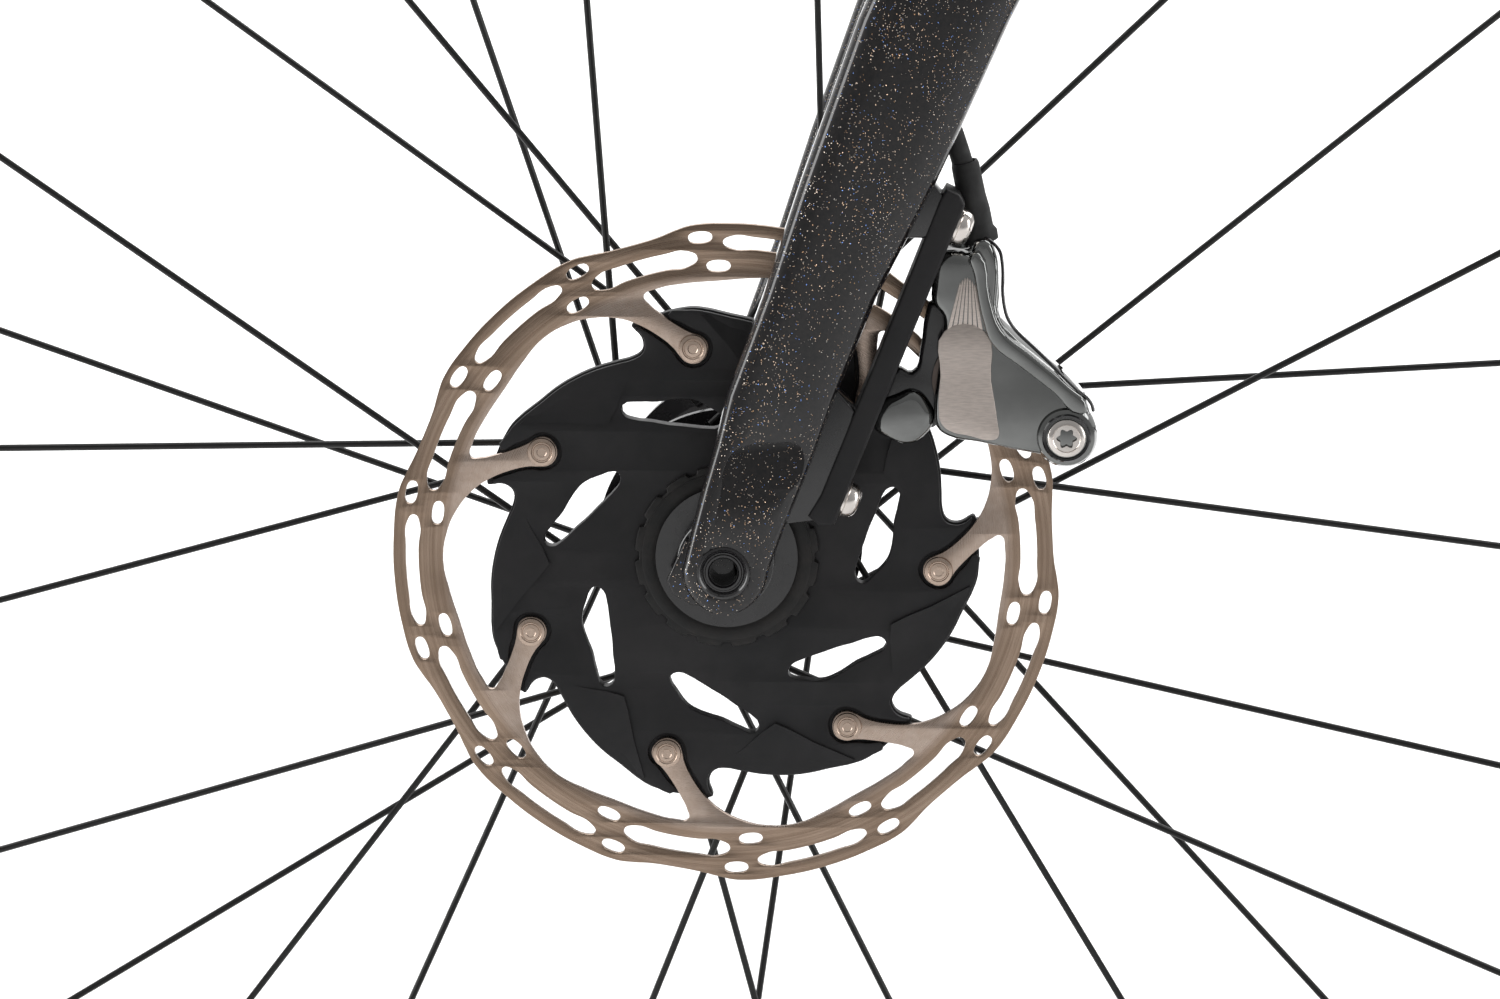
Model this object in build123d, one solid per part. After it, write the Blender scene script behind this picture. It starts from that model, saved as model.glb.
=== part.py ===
from build123d import *
import math
import os

# Road bicycle with disc brakes, modelled as separate pieces, one STEP file for each node.
# Row frame, in millimetres: +X points forward, +Y to the rider's left and +Z up. The origin is on the
# ground, midway between the two axles. The bicycle stands upright with its wheels straight and the right
# crank forward. Around a wheel, an angle called "turn" starts straight back from the axle and grows upwards.

os.makedirs("parts", exist_ok=True)

# ---------------------------------------------------------------- driving dimensions
# Wheels and tyres
BEAD_SEAT_D = 622.0
TYRE_W = 28.0
TYRE_WALL = 2.0
RIM_DEPTH = 40.0
RIM_W = 27.0
RIM_WALL = 1.6
RIM_HOOK_H = 6.0
RIM_INNER_W = 21.0
SPOKES = 28
SPOKE_R = 0.8
NIPPLE_R = 1.9
NIPPLE_L = 10.0
FLANGE_T = 3.0
FRONT_SPOKE_TURN = -3.3
REAR_SPOKE_TURN = 0.0

# Frame geometry
CHAINSTAY_L = 410.0
BB_DROP = 70.0
REACH = 385.0
STACK = 545.0
HEAD_TUBE_L = 140.0
HEAD_ANGLE = 72.5
SEAT_ANGLE = 73.5
SEAT_TUBE_L = 500.0
SADDLE_RAIL_HEIGHT = 695.0
FORK_RAKE = 45.0
FRAME_WALL = 2.2

# Hubs
FRONT_OLD = 100.0
REAR_OLD = 142.0
DROPOUT_T = 12.0
REAR_DROPOUT_T = 8.0
AXLE_R = 6.0
HUB_AXLE_R = 8.5
FIT_GAP = 0.1
RUN_GAP = 0.4

# Brakes
ROTOR_R = 80.0
ROTOR_T = 1.8
ROTOR_ARMS = 7
RIVET_PITCH_R = 50.7
RIVET_R = 3.5
FRONT_ROTOR_Y = 40.0
REAR_ROTOR_Y = 55.5
FRONT_ROTOR_TURN = 99.1
REAR_ROTOR_TURN = 60.0
CARRIER_T = 3.2
LOCKRING_R = 22.0
LOCKRING_NOTCHES = 16
PAD_T = 3.4
PAD_GAP = 0.5

# Drivetrain
CHAIN_PITCH = 12.7
ROLLER_R = 3.95
CHAIN_Y = -47.75
CHAIN_PLATE_H = 8.0
CHAIN_INNER_GAP = 2.6
CHAIN_PLATE_T = 1.1
BIG_RING_T = 48
SMALL_RING_T = 35
RING_SPACING = 7.0
COGS = [10, 11, 12, 13, 14, 15, 17, 19, 21, 24, 28, 33]
COG_IN_USE = 5
COG_PITCH = 3.65
COG_T = 1.7
PULLEY_T = 12
CRANK_L = 172.5
CRANK_FACE_Y = 71.0
CRANK_ARM_T = 12.5
BB_HALF_W = 34.0
CUP_FLANGE_W = 7.2
PEDAL_AXLE_R = 5.5
PEDAL_W = 58.0

# Cockpit
BAR_CLAMP_R = 15.9
BAR_R = 12.0
BAR_HALF_W = 205.0
BAR_REACH = 80.0
BAR_DROP = 125.0
TAPE_T = 2.6
STEM_L = 100.0
STEM_ANGLE = -6.0
STEM_H = 40.0
STEERER_R = 14.3
SPACER_H = 15.0
HEADSET_COVER_H = 8.0
BEARING_R = 26.0
BEARING_H = 7.0

# Seat
POST_R = 13.6
SADDLE_L = 262.0
SADDLE_W = 146.0
RAIL_R = 3.5
RAIL_SPACING = 44.0
SHELL_INSET = 5.0
SHELL_T = 4.5
SHELL_PROUD = 0.8
SHELL_CORNER = 1.9
BOSS_SPACING = 64.0
BOSS_HOLE_R = 2.5

# ---------------------------------------------------------------- places worked out from them
BEAD_SEAT_R = BEAD_SEAT_D / 2
WHEEL_R = BEAD_SEAT_R + TYRE_W
RIM_OUT_R = BEAD_SEAT_R + RIM_HOOK_H
RIM_IN_R = RIM_OUT_R - RIM_DEPTH
HEAD_RAD = math.radians(HEAD_ANGLE)
SEAT_RAD = math.radians(SEAT_ANGLE)
STEER_DIR = Vector(-math.cos(HEAD_RAD), 0, math.sin(HEAD_RAD))
STEER_FWD = Vector(math.sin(HEAD_RAD), 0, math.cos(HEAD_RAD))
SEAT_DIR = Vector(-math.cos(SEAT_RAD), 0, math.sin(SEAT_RAD))

STAY_RUN = math.sqrt(CHAINSTAY_L**2 - BB_DROP**2)
BB_Z = WHEEL_R - BB_DROP
HEAD_TOP_Z = BB_Z + STACK
HEAD_LOW_Z = HEAD_TOP_Z - HEAD_TUBE_L * STEER_DIR.Z
FORK_L = (HEAD_LOW_Z + FORK_RAKE * STEER_FWD.Z - WHEEL_R) / STEER_DIR.Z
FRONT_FROM_BB = REACH - (HEAD_TUBE_L + FORK_L) * STEER_DIR.X + FORK_RAKE * STEER_FWD.X
WHEELBASE = STAY_RUN + FRONT_FROM_BB
FRONT_X = WHEELBASE / 2
REAR_X = -WHEELBASE / 2
BB_X = REAR_X + STAY_RUN

BB = Vector(BB_X, 0, BB_Z)
HEAD_TOP = Vector(BB_X + REACH, 0, HEAD_TOP_Z)
HEAD_LOW = HEAD_TOP - STEER_DIR * HEAD_TUBE_L
SEAT_TOP = BB + SEAT_DIR * SEAT_TUBE_L
RAIL_POINT = BB + SEAT_DIR * SADDLE_RAIL_HEIGHT
STEM_LOW = HEAD_TOP + STEER_DIR * (HEADSET_COVER_H + SPACER_H)
STEM_MID = STEM_LOW + STEER_DIR * (STEM_H / 2)
STEM_RAD = math.radians(STEM_ANGLE)
BAR_MID = STEM_MID + STEER_FWD * (STEM_L * math.cos(STEM_RAD)) + STEER_DIR * (STEM_L * math.sin(STEM_RAD))
FRONT_DROP_IN = FRONT_OLD / 2
REAR_DROP_IN = REAR_OLD / 2
COG_FIRST_Y = CHAIN_Y - COG_IN_USE * COG_PITCH
HANGER_BOLT = (REAR_X - 7.0, WHEEL_R - 28.0)
STEERER_TOP = HEAD_TUBE_L + HEADSET_COVER_H + SPACER_H + STEM_H - 3.0
FRONT_HUB_END = 44.0
REAR_HUB_END = 22.6
FRONT_FLANGE = {
    "flange_r_left": 29.0,
    "flange_r_right": 28.0,
    "left_y": 19.7,
    "right_y": 33.4,
    "cross_turn": 51.4,
}
REAR_FLANGE = {
    "flange_r_left": 29.0,
    "flange_r_right": 27.0,
    "left_y": 32.0,
    "right_y": 18.5,
    "cross_turn": 51.4,
}
VALVE_R = 3.0
VALVE_L = 44.0
FRONT_VALVE = FRONT_SPOKE_TURN + 21.5 * 360.0 / SPOKES
REAR_VALVE = REAR_SPOKE_TURN + 20.5 * 360.0 / SPOKES


# ---------------------------------------------------------------- small tools
def rod(start, end, radius):
    """Solid cylinder between two points."""
    start, end = Vector(*start), Vector(*end)
    low = (Align.CENTER, Align.CENTER, Align.MIN)
    return Plane(origin=start, z_dir=end - start) * Cylinder(radius, (end - start).length, align=low)


def pipe(start, end, outer, inner):
    """Round tube between two points."""
    return rod(start, end, outer) - rod(start, end, inner)


def across(x, z, y_low, y_high, radius, inner=0.0):
    """Cylinder or ring along Y."""
    if inner:
        return pipe((x, y_low, z), (x, y_high, z), radius, inner)
    return rod((x, y_low, z), (x, y_high, z), radius)


def slab(sketch, x, z, y_low, y_high):
    """A side-view outline, drawn forward and up from (x, z), made solid between two Y values."""
    plane = Plane(origin=(x, y_high, z), x_dir=(1, 0, 0), z_dir=(0, -1, 0))
    return extrude(plane * sketch, amount=y_high - y_low)


def outline(points):
    """Closed straight-sided outline."""
    return make_face(Polyline(*points, close=True))


def turned(points):
    """Solid of revolution about Y from (y, radius) points."""
    return revolve(Plane.YZ * outline(points), Axis.Y)


def polar(radius, turn):
    """Forward and up offsets of a point at this radius and turn."""
    a = math.radians(turn)
    return (-radius * math.cos(a), radius * math.sin(a))


def wheel_point(x, radius, turn, y):
    forward, up = polar(radius, turn)
    return (x + forward, y, WHEEL_R + up)


def section(point, direction, chord, width, corner):
    """Rounded section across a tube that runs along direction; chord lies in the side view."""
    plane = Plane(origin=point, x_dir=Vector(0, 1, 0).cross(Vector(*direction)), z_dir=direction)
    return plane * RectangleRounded(chord, width, corner)


def tube_loft(rows, shrink=0.0):
    """Loft through (point, direction, chord, width) rows; shrink takes a wall off for the hollow."""
    faces = []
    for point, direction, chord, width in rows:
        c, w = chord - 2 * shrink, width - 2 * shrink
        faces.append(section(point, direction, c, w, 0.46 * min(c, w)))
    return loft(faces)


def mirrored(part):
    """The same part on the rider's other side."""
    return mirror(part, about=Plane.XZ)


def both(part):
    return Compound(children=[*part.solids(), *mirrored(part).solids()])


def gather(*parts):
    """Separate solids that share one node."""
    return Compound(children=[s for p in parts for s in p.solids()])


def save(name, part):
    """Writes one node's STEP file."""
    whole = part if isinstance(part, Compound) else Compound(children=part.solids())
    export_step(whole, f"parts/{name}.step")


# ---------------------------------------------------------------- wheels
def rim():
    """Deep hollow rim with a tubeless bed."""
    hw, iw = RIM_W / 2, RIM_INNER_W / 2
    bed, well = BEAD_SEAT_R - 0.5, BEAD_SEAT_R - 4.5
    nose = 4.0
    skin = make_face(
        Polyline(
            (hw, RIM_OUT_R), (iw, RIM_OUT_R), (iw, bed), (iw - 4, bed - 0.8), (iw - 6, well),
            (6 - iw, well), (4 - iw, bed - 0.8), (-iw, bed), (-iw, RIM_OUT_R), (-hw, RIM_OUT_R),
        )
        + ThreePointArc((-hw, RIM_OUT_R), (-hw + 2.6, RIM_OUT_R - RIM_DEPTH * 0.6), (-nose, RIM_IN_R + 1))
        + ThreePointArc((-nose, RIM_IN_R + 1), (0, RIM_IN_R), (nose, RIM_IN_R + 1))
        + ThreePointArc((nose, RIM_IN_R + 1), (hw - 2.6, RIM_OUT_R - RIM_DEPTH * 0.6), (hw, RIM_OUT_R))
    )
    w = RIM_WALL
    top = well - w
    edge = hw - 2.2 * w
    belly = (hw - 3.5 * w, RIM_OUT_R - RIM_DEPTH * 0.62)
    foot = (2.0, RIM_IN_R + 2.2 * w)
    hollow = make_face(
        Line((-edge, top), (edge, top))
        + ThreePointArc((edge, top), belly, foot)
        + Line(foot, (-foot[0], foot[1]))
        + ThreePointArc((-foot[0], foot[1]), (-belly[0], belly[1]), (-edge, top))
    )
    return revolve(Plane.YZ * skin, Axis.Y) - revolve(Plane.YZ * hollow, Axis.Y)


def tyre():
    """Open casing that seats in the rim's bed."""
    r = TYRE_W / 2
    mid = WHEEL_R - r
    bead = RIM_INNER_W / 2 - 0.15
    lip = RIM_OUT_R + 0.3
    foot = BEAD_SEAT_R + 0.2
    side = math.sqrt(r**2 - (mid - lip) ** 2)
    ri = r - TYRE_WALL
    bi = bead - TYRE_WALL
    neck = mid - math.sqrt(ri**2 - bi**2)
    skin = make_face(
        Polyline((-bi, neck), (-bi, foot), (-bead, foot), (-bead, lip), (-side, lip))
        + ThreePointArc((-side, lip), (0, WHEEL_R), (side, lip))
        + Polyline((side, lip), (bead, lip), (bead, foot), (bi, foot), (bi, neck))
        + ThreePointArc((bi, neck), (0, WHEEL_R - TYRE_WALL), (-bi, neck))
    )
    return revolve(Plane.YZ * skin, Axis.Y)


def spoke_ends(k, first_turn, flange_r_left, flange_r_right, left_y, right_y, cross_turn):
    """Hub and rim ends of spoke k, in wheel coordinates: flanges by turns, two spokes to each lean."""
    turn = first_turn + k * 360.0 / SPOKES
    left = k % 2 == 0
    lean = 1 if k % 4 < 2 else -1
    radius = flange_r_left if left else flange_r_right
    side = 1 if left else -1
    flange_y = left_y if left else -right_y
    hub_f, hub_u = polar(radius, turn + lean * cross_turn)
    rim_f, rim_u = polar(RIM_IN_R + 2.5, turn)
    head_y = flange_y + side * lean * (FLANGE_T / 2 + SPOKE_R)
    return Vector(hub_f, head_y, hub_u), Vector(rim_f, side * 0.8, rim_u)


def spokes(first_turn, flange_r_left, flange_r_right, left_y, right_y, cross_turn):
    """Round spokes, each with its elbow through the flange and its nipple at the rim."""
    solids = []
    for k in range(SPOKES):
        hub, seat = spoke_ends(k, first_turn, flange_r_left, flange_r_right, left_y, right_y, cross_turn)
        along = (seat - hub).normalized()
        collar = seat - along * NIPPLE_L
        flange_y = left_y if k % 2 == 0 else -right_y
        far_y = flange_y - (hub.Y - flange_y)
        elbow = rod((hub.X, hub.Y, hub.Z), (hub.X, far_y, hub.Z), SPOKE_R)
        knee = Pos(hub.X, hub.Y, hub.Z) * Sphere(SPOKE_R)
        solids.append(rod(hub, collar, SPOKE_R) + elbow + knee)
        solids.append(rod(collar, seat, NIPPLE_R))
    return gather(*solids)


def spoke_holes(first_turn, flange_r, flange_y, cross_turn, left):
    """Drillings through one flange."""
    cutters = []
    for k in range(0 if left else 1, SPOKES, 2):
        lean = 1 if k % 4 < 2 else -1
        turn = first_turn + k * 360.0 / SPOKES + lean * cross_turn
        forward, up = polar(flange_r, turn)
        cutters.append(across(forward, up, flange_y - 3, flange_y + 3, SPOKE_R + 0.35))
    return cutters




def lacing(flange, first_turn):
    return spokes(first_turn, **flange)


def drilled(shell, flange, first_turn):
    """Takes the spoke drillings out of a hub shell."""
    for left, radius_key, y_key in ((True, "flange_r_left", "left_y"), (False, "flange_r_right", "right_y")):
        y = flange[y_key] if left else -flange[y_key]
        for cutter in spoke_holes(first_turn, flange[radius_key], y, flange["cross_turn"], left):
            shell = shell - cutter
    return shell


BEARING_OUT_R = 14.0
BEARING_W = 7.0


def hub_shell(flange, rotor_y, right_end):
    """Turned shell: rotor seat, two spoke flanges, bearing seats and a clear middle."""
    ly, ry = flange["left_y"], flange["right_y"]
    lr, rr = flange["flange_r_left"] + 3.2, flange["flange_r_right"] + 3.2
    t = FLANGE_T / 2
    seat_y = rotor_y - ROTOR_T / 2 - CARRIER_T - FIT_GAP
    end_y = rotor_y + 3.0
    points = [
        (-right_end, BEARING_OUT_R), (-right_end, 19.0), (-ry - t - 1.5, 20.0), (-ry - t, rr - 5),
        (-ry - t, rr), (-ry + t, rr), (-ry + t, rr - 5), (-ry + t + 6, 14.5), (-ry / 2, 12.5),
        (ly / 2, 12.5), (ly - t - 5, 15.0), (ly - t, lr - 5), (ly - t, lr), (ly + t, lr), (ly + t, lr - 5),
        (ly + t + 2, 20.0),
        (seat_y, 20.0), (seat_y, 17.0), (end_y, 17.0), (end_y, BEARING_OUT_R),
        (end_y - BEARING_W, BEARING_OUT_R), (end_y - BEARING_W, 10.5), (-right_end + BEARING_W, 10.5),
        (-right_end + BEARING_W, BEARING_OUT_R),
    ]
    return turned(points)


def hub(flange, first_turn, rotor_y, right_end):
    shell = drilled(hub_shell(flange, rotor_y, right_end), flange, first_turn)
    bearing = []
    for low in (rotor_y + 3.0 - BEARING_W, -right_end):
        bearing.append(across(0, 0, low, low + BEARING_W, BEARING_OUT_R, HUB_AXLE_R + RUN_GAP))
    return gather(shell, *bearing)


# ---------------------------------------------------------------- brake rotors
ROTOR_STEP = 360.0 / ROTOR_ARMS


def rotor_edge(first_turn, crest, dip, dip_turn, half_dip):
    """Scalloped closed edge: a crest arc, then a shallow dip, once for each arm."""
    points = []
    for k in range(ROTOR_ARMS):
        base = first_turn + k * ROTOR_STEP + dip_turn
        points.append(polar(crest, base - half_dip))
        points.append(polar((crest + dip) / 2, base - half_dip / 2))
        points.append(polar(dip, base))
        points.append(polar((crest + dip) / 2, base + half_dip / 2))
        points.append(polar(crest, base + half_dip))
        points.append(polar(crest, base + ROTOR_STEP / 2))
    return make_face(Spline(*points, periodic=True))


def slot_hole(radius, turn_from, turn_to, half_h):
    """Round-ended slot that follows the rotor's track."""
    end = math.degrees(half_h / radius)
    a, b = turn_from + end, turn_to - end
    mid = (a + b) / 2
    band = make_face(
        ThreePointArc(polar(radius + half_h, a), polar(radius + half_h, mid), polar(radius + half_h, b))
        + Line(polar(radius + half_h, b), polar(radius - half_h, b))
        + ThreePointArc(polar(radius - half_h, b), polar(radius - half_h, mid), polar(radius - half_h, a))
        + Line(polar(radius - half_h, a), polar(radius + half_h, a))
    )
    return band + Pos(*polar(radius, a)) * Circle(half_h) + Pos(*polar(radius, b)) * Circle(half_h)


def oval_hole(radius, turn, half_l, half_h):
    return Pos(*polar(radius, turn)) * Rot(0, 0, 90 - turn) * Ellipse(half_l, half_h)


def rotor_arm(turn):
    """Swept arm from the track to its rivet eye."""
    outer = [(16.0, 67.2), (13.0, 64.2), (9.5, 59.3), (6.4, 54.2), (4.2, 50.2)]
    inner = [(-1.2, 53.9), (1.5, 55.6), (4.8, 59.2), (7.4, 63.2), (8.6, 67.2)]
    left = Spline(*[polar(r, turn + a) for a, r in outer])
    right = Spline(*[polar(r, turn + a) for a, r in inner])
    closing = Line(left @ 1, right @ 0) + Line(right @ 1, left @ 0)
    return make_face(left + right + closing) + Pos(*polar(RIVET_PITCH_R, turn)) * Circle(RIVET_R + 0.4)


def rotor_track(first_turn):
    """Steel track with its slots and ovals, arms and rivets; flat, centred on y = 0."""
    face = rotor_edge(first_turn, ROTOR_R, 77.9, 7.0, 10.0)
    face = face - rotor_edge(first_turn, 68.1, 66.6, 0.6, 13.0)
    for k in range(ROTOR_ARMS):
        turn = first_turn + k * ROTOR_STEP
        face = face + rotor_arm(turn)
    for k in range(ROTOR_ARMS):
        turn = first_turn + k * ROTOR_STEP
        face = face - slot_hole(72.1, turn - 3.4, turn + 16.8, 1.9)
        face = face - slot_hole(75.5, turn - 29.0, turn - 8.6, 1.5)
        for radius, offset in ((76.9, 18.3), (76.9, -4.4), (69.9, 21.3), (69.9, -7.5)):
            face = face - oval_hole(radius, turn + offset, 2.85, 1.45)
    return face


def rotor(first_turn, x, y):
    """The track, and the seven rivets that hold it to its carrier."""
    face = rotor_track(first_turn)
    for k in range(ROTOR_ARMS):
        centre = polar(RIVET_PITCH_R, first_turn + k * ROTOR_STEP)
        face = face - Pos(*centre) * Circle(RIVET_R - 0.9)
    track = slab(face, x, WHEEL_R, y - ROTOR_T / 2, y + ROTOR_T / 2)
    rivets = []
    for k in range(ROTOR_ARMS):
        forward, up = polar(RIVET_PITCH_R, first_turn + k * ROTOR_STEP)
        cx, cz = x + forward, WHEEL_R + up
        shank = across(cx, cz, y - ROTOR_T / 2 - CARRIER_T - 0.6, y + ROTOR_T / 2, RIVET_R - 0.95)
        head = across(cx, cz, y + ROTOR_T / 2, y + ROTOR_T / 2 + 1.0, RIVET_R)
        tail = across(cx, cz, y - ROTOR_T / 2 - CARRIER_T - 0.6, y - ROTOR_T / 2 - CARRIER_T, RIVET_R)
        rivets.append(shank + head + tail)
    return gather(track, *rivets)


def carrier_outline(first_turn):
    """Saw-toothed disc with one swept window to each arm."""
    edge = None
    for k in range(ROTOR_ARMS):
        turn = first_turn + k * ROTOR_STEP
        back = [
            (12.4, 59.6), (6.0, 60.3), (-3.0, 60.0), (-15.0, 57.2), (-27.0, 54.6), (-35.2, 52.6),
            (-38.2, 53.6),
        ]
        top = Spline(*[polar(r, turn + a) for a, r in back])
        tip = polar(59.6, turn + 12.4 - ROTOR_STEP)
        hook = Spline(polar(53.6, turn - 38.2), polar(55.5, turn - 39.2), tip)
        edge = top + hook if edge is None else edge + top + hook
    face = make_face(edge)
    for k in range(ROTOR_ARMS):
        turn = first_turn + k * ROTOR_STEP
        upper = [(25.5, 44.0), (20.0, 42.4), (12.0, 40.2), (3.0, 38.4), (-6.8, 33.6)]
        lower = [(-5.0, 31.0), (4.0, 31.6), (13.0, 34.0), (20.0, 37.2), (26.8, 40.9)]
        high = Spline(*[polar(r, turn + a) for a, r in upper])
        low = Spline(*[polar(r, turn + a) for a, r in lower])
        right = ThreePointArc(high @ 1, polar(32.1, turn - 7.6), low @ 0)
        left = ThreePointArc(low @ 1, polar(42.9, turn + 27.6), high @ 0)
        face = face - make_face(high + right + low + left)
    return face


def carrier(first_turn, x, y):
    """Alloy carrier, bored for the hub's rotor seat."""
    high = y - ROTOR_T / 2
    face = carrier_outline(first_turn) - Circle(17.15)
    for k in range(ROTOR_ARMS):
        face = face - Pos(*polar(RIVET_PITCH_R, first_turn + k * ROTOR_STEP)) * Circle(RIVET_R - 0.9)
    return slab(face, x, WHEEL_R, high - CARRIER_T, high)


def lockring(x, y):
    """Notched ring that clamps the carrier on the hub."""
    face = Circle(LOCKRING_R) - Circle(HUB_AXLE_R + 6.0)
    for k in range(LOCKRING_NOTCHES):
        centre = polar(LOCKRING_R + 0.5, k * 360.0 / LOCKRING_NOTCHES)
        face = face - Pos(*centre) * Circle(1.5)
    low = y - ROTOR_T / 2
    ring = slab(face, x, WHEEL_R, low, low + 3.4)
    return ring - across(x, WHEEL_R, low - 1, y + 3.0 + 0.05, 17.1)


# ---------------------------------------------------------------- brake calipers and pads
# Drawn for the front brake with the axle at the origin and the rotor at y = 0; points are (back, up).
PLATE_SLOPE = 0.4
PLATE_T = 6.0
PLATE_BOLT_UPS = (16.5, 82.0)
PLATE_BOLT_Y = 13.5
CALIPER_HALF_W = 16.0
PAD_CENTRE = (59.3, 44.6)
PISTON_R = 10.5
REAR_CALIPER_TURN = 121.3
CALIPER_BOLT = (80.4, 31.5)
HOSE_R = 2.5
HOSE_BENDS = [14.0, 30.0]


def side_slab(points, y_low, y_high):
    """Solid from a (back, up) outline."""
    return slab(outline([(-back, up) for back, up in points]), 0, 0, y_low, y_high)


def plate_back(up):
    """How far back the plate's rear face lies at a height."""
    return 29.5 + PLATE_SLOPE * (up - 20.0)


def plate_front(up):
    return plate_back(up) - PLATE_T


def plate_body():
    points = [
        (plate_front(12), 12), (plate_back(10.5), 10.5), (plate_back(87), 87), (plate_front(90), 90.0),
    ]
    return side_slab(points, 4.5, 18.0)


def drilled_plate():
    """The plate with a hole for each of its bolts."""
    plate = plate_body()
    for height in PLATE_BOLT_UPS:
        plate = plate - rod_of_bolt(height)
    return plate


def caliper_body():
    """Two-piston body with a slot for rotor and pads, standing on two feet."""
    points = [
        (plate_back(74), 74), (57.0, 74.5), (58.5, 77.5), (61, 78), (63.5, 75), (64.5, 70), (64, 63),
        (64.5, 58.5), (67, 55.5), (71, 52), (76, 48), (83, 42), (86, 38), (86.5, 34), (85, 29), (80.4, 26),
        (75, 27), (60, 29.5), (50.5, 31.5), (47, 31), (43, 29), (plate_back(32.5), 32.5),
        (plate_back(39), 39), (44, 42.5), (49, 41), (50, 50), (51.5, 58), (plate_back(62), 62),
    ]
    body = side_slab(points, -CALIPER_HALF_W, CALIPER_HALF_W)
    slot = PAD_GAP + ROTOR_T / 2 + PAD_T + RUN_GAP
    body = body - across(0, 0, -slot, slot, ROTOR_R + 2.5)
    bore = across(-PAD_CENTRE[0], PAD_CENTRE[1], -13.5, 13.5, PISTON_R + RUN_GAP)
    return body - bore - swept(front_hose_points(), HOSE_BENDS, HOSE_R)


def pad(side):
    """Backed friction block with its piston; side is 1 outboard and -1 inboard."""
    near = ROTOR_T / 2 + PAD_GAP
    lean = math.degrees(math.atan2(PAD_CENTRE[1], PAD_CENTRE[0]))
    shape = Pos(-PAD_CENTRE[0], PAD_CENTRE[1]) * Rot(0, 0, -lean) * RectangleRounded(13.0, 23.0, 2.5)
    block = slab(shape, 0, 0, near, near + PAD_T)
    piston = across(-PAD_CENTRE[0], PAD_CENTRE[1], near + PAD_T, near + PAD_T + 7.0, PISTON_R)
    part = block + piston
    return part if side > 0 else mirrored(part)


def plate_bolt(up, y):
    """Domed bolt through the plate, square to it; returns head and shank."""
    length = math.hypot(1.0, PLATE_SLOPE)
    normal = Vector(-1.0 / length, 0, -PLATE_SLOPE / length)
    seat = Vector(-plate_back(up), y, up)
    return rod(seat, seat + normal * 3.0, 4.2), rod(seat - normal * 9.0, seat, 2.5)


def caliper_fittings():
    """Body bolt, plate bolts and pad clip."""
    back, up = CALIPER_BOLT
    w = CALIPER_HALF_W
    seat = across(-back, up, w, w + 0.8, 5.3)
    head = across(-back, up, w + 0.8, w + 2.6, 4.6) - across(-back, up, w + 1.2, w + 3, 2.6)
    top, knee, tip = (-64.9, w + 0.6, 75), (-64.9, w + 0.6, 61), (-82, w + 0.6, 41.5)
    clip = rod(top, knee, 0.6) + rod(knee, tip, 0.6)
    bolts = []
    for height in PLATE_BOLT_UPS:
        dome, shank = plate_bolt(height, PLATE_BOLT_Y)
        bolts.append(dome + shank)
    return gather(seat + head, clip, *bolts)


def front_hose_points():
    """From the caliper's mouth up into the rear of the fork leg."""
    return [(-60.5, 5.0, 74.0), (-57.5, 5.5, 84.0), (-55.8, 7.5, 97.0), (-49.0, 11.0, 114.0)]


def bent(points, radii):
    """Wire of straight runs joined by tangent arcs."""
    points = [Vector(*p) for p in points]
    edges = []
    start = points[0]
    for k in range(1, len(points) - 1):
        corner = points[k]
        back = (points[k - 1] - corner).normalized()
        ahead = (points[k + 1] - corner).normalized()
        half = math.acos(max(-1.0, min(1.0, back.dot(ahead)))) / 2
        reach = radii[k - 1] / math.tan(half)
        near, far = corner + back * reach, corner + ahead * reach
        middle = (back + ahead).normalized()
        top = corner + middle * (radii[k - 1] / math.sin(half) - radii[k - 1])
        edges.append(Line(start, near))
        edges.append(ThreePointArc(near, top, far))
        start = far
    edges.append(Line(start, points[-1]))
    return Wire([e.edge() if hasattr(e, "edge") else e for e in edges])


def swept(points, radii, outer, inner=0.0):
    """Round bar or tube along a bent path."""
    path = bent(points, radii)
    first = Vector(*points[0])
    plane = Plane(origin=first, z_dir=Vector(*points[1]) - first)
    ring = plane * (Circle(outer) - Circle(inner)) if inner else plane * Circle(outer)
    return sweep(ring, path=path)


def front_brake(part):
    return Pos(FRONT_X, FRONT_ROTOR_Y, WHEEL_R) * part


def rear_brake(part):
    return Pos(REAR_X, REAR_ROTOR_Y, WHEEL_R) * Rot(0, REAR_CALIPER_TURN, 0) * part


# ---------------------------------------------------------------- fork
FORK_CROWN_H = 34.0
CROWN_W = 86.0
# Height over the axle, front edge and rear edge behind the axle, inner and outer face.
LEG_ROWS = [
    (0.0, -10.0, 10.4, 50.1, 62.0),
    (20.0, -5.0, 18.3, 50.1, 62.0),
    (42.0, 0.6, 26.5, 46.5, 62.0),
    (65.0, 9.0, 35.8, 45.5, 62.0),
    (92.0, 17.8, 49.5, 45.5, 62.0),
    (130.0, 31.2, 66.4, 46.0, 62.0),
    (220.0, 72.0, 113.0, 37.5, 57.0),
]

LEG_SECTIONS = 11


def steer_point(along, ahead=0.0):
    """Point on the steering axis, measured up from the head tube's lower end."""
    return HEAD_LOW + STEER_DIR * along + STEER_FWD * ahead


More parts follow.
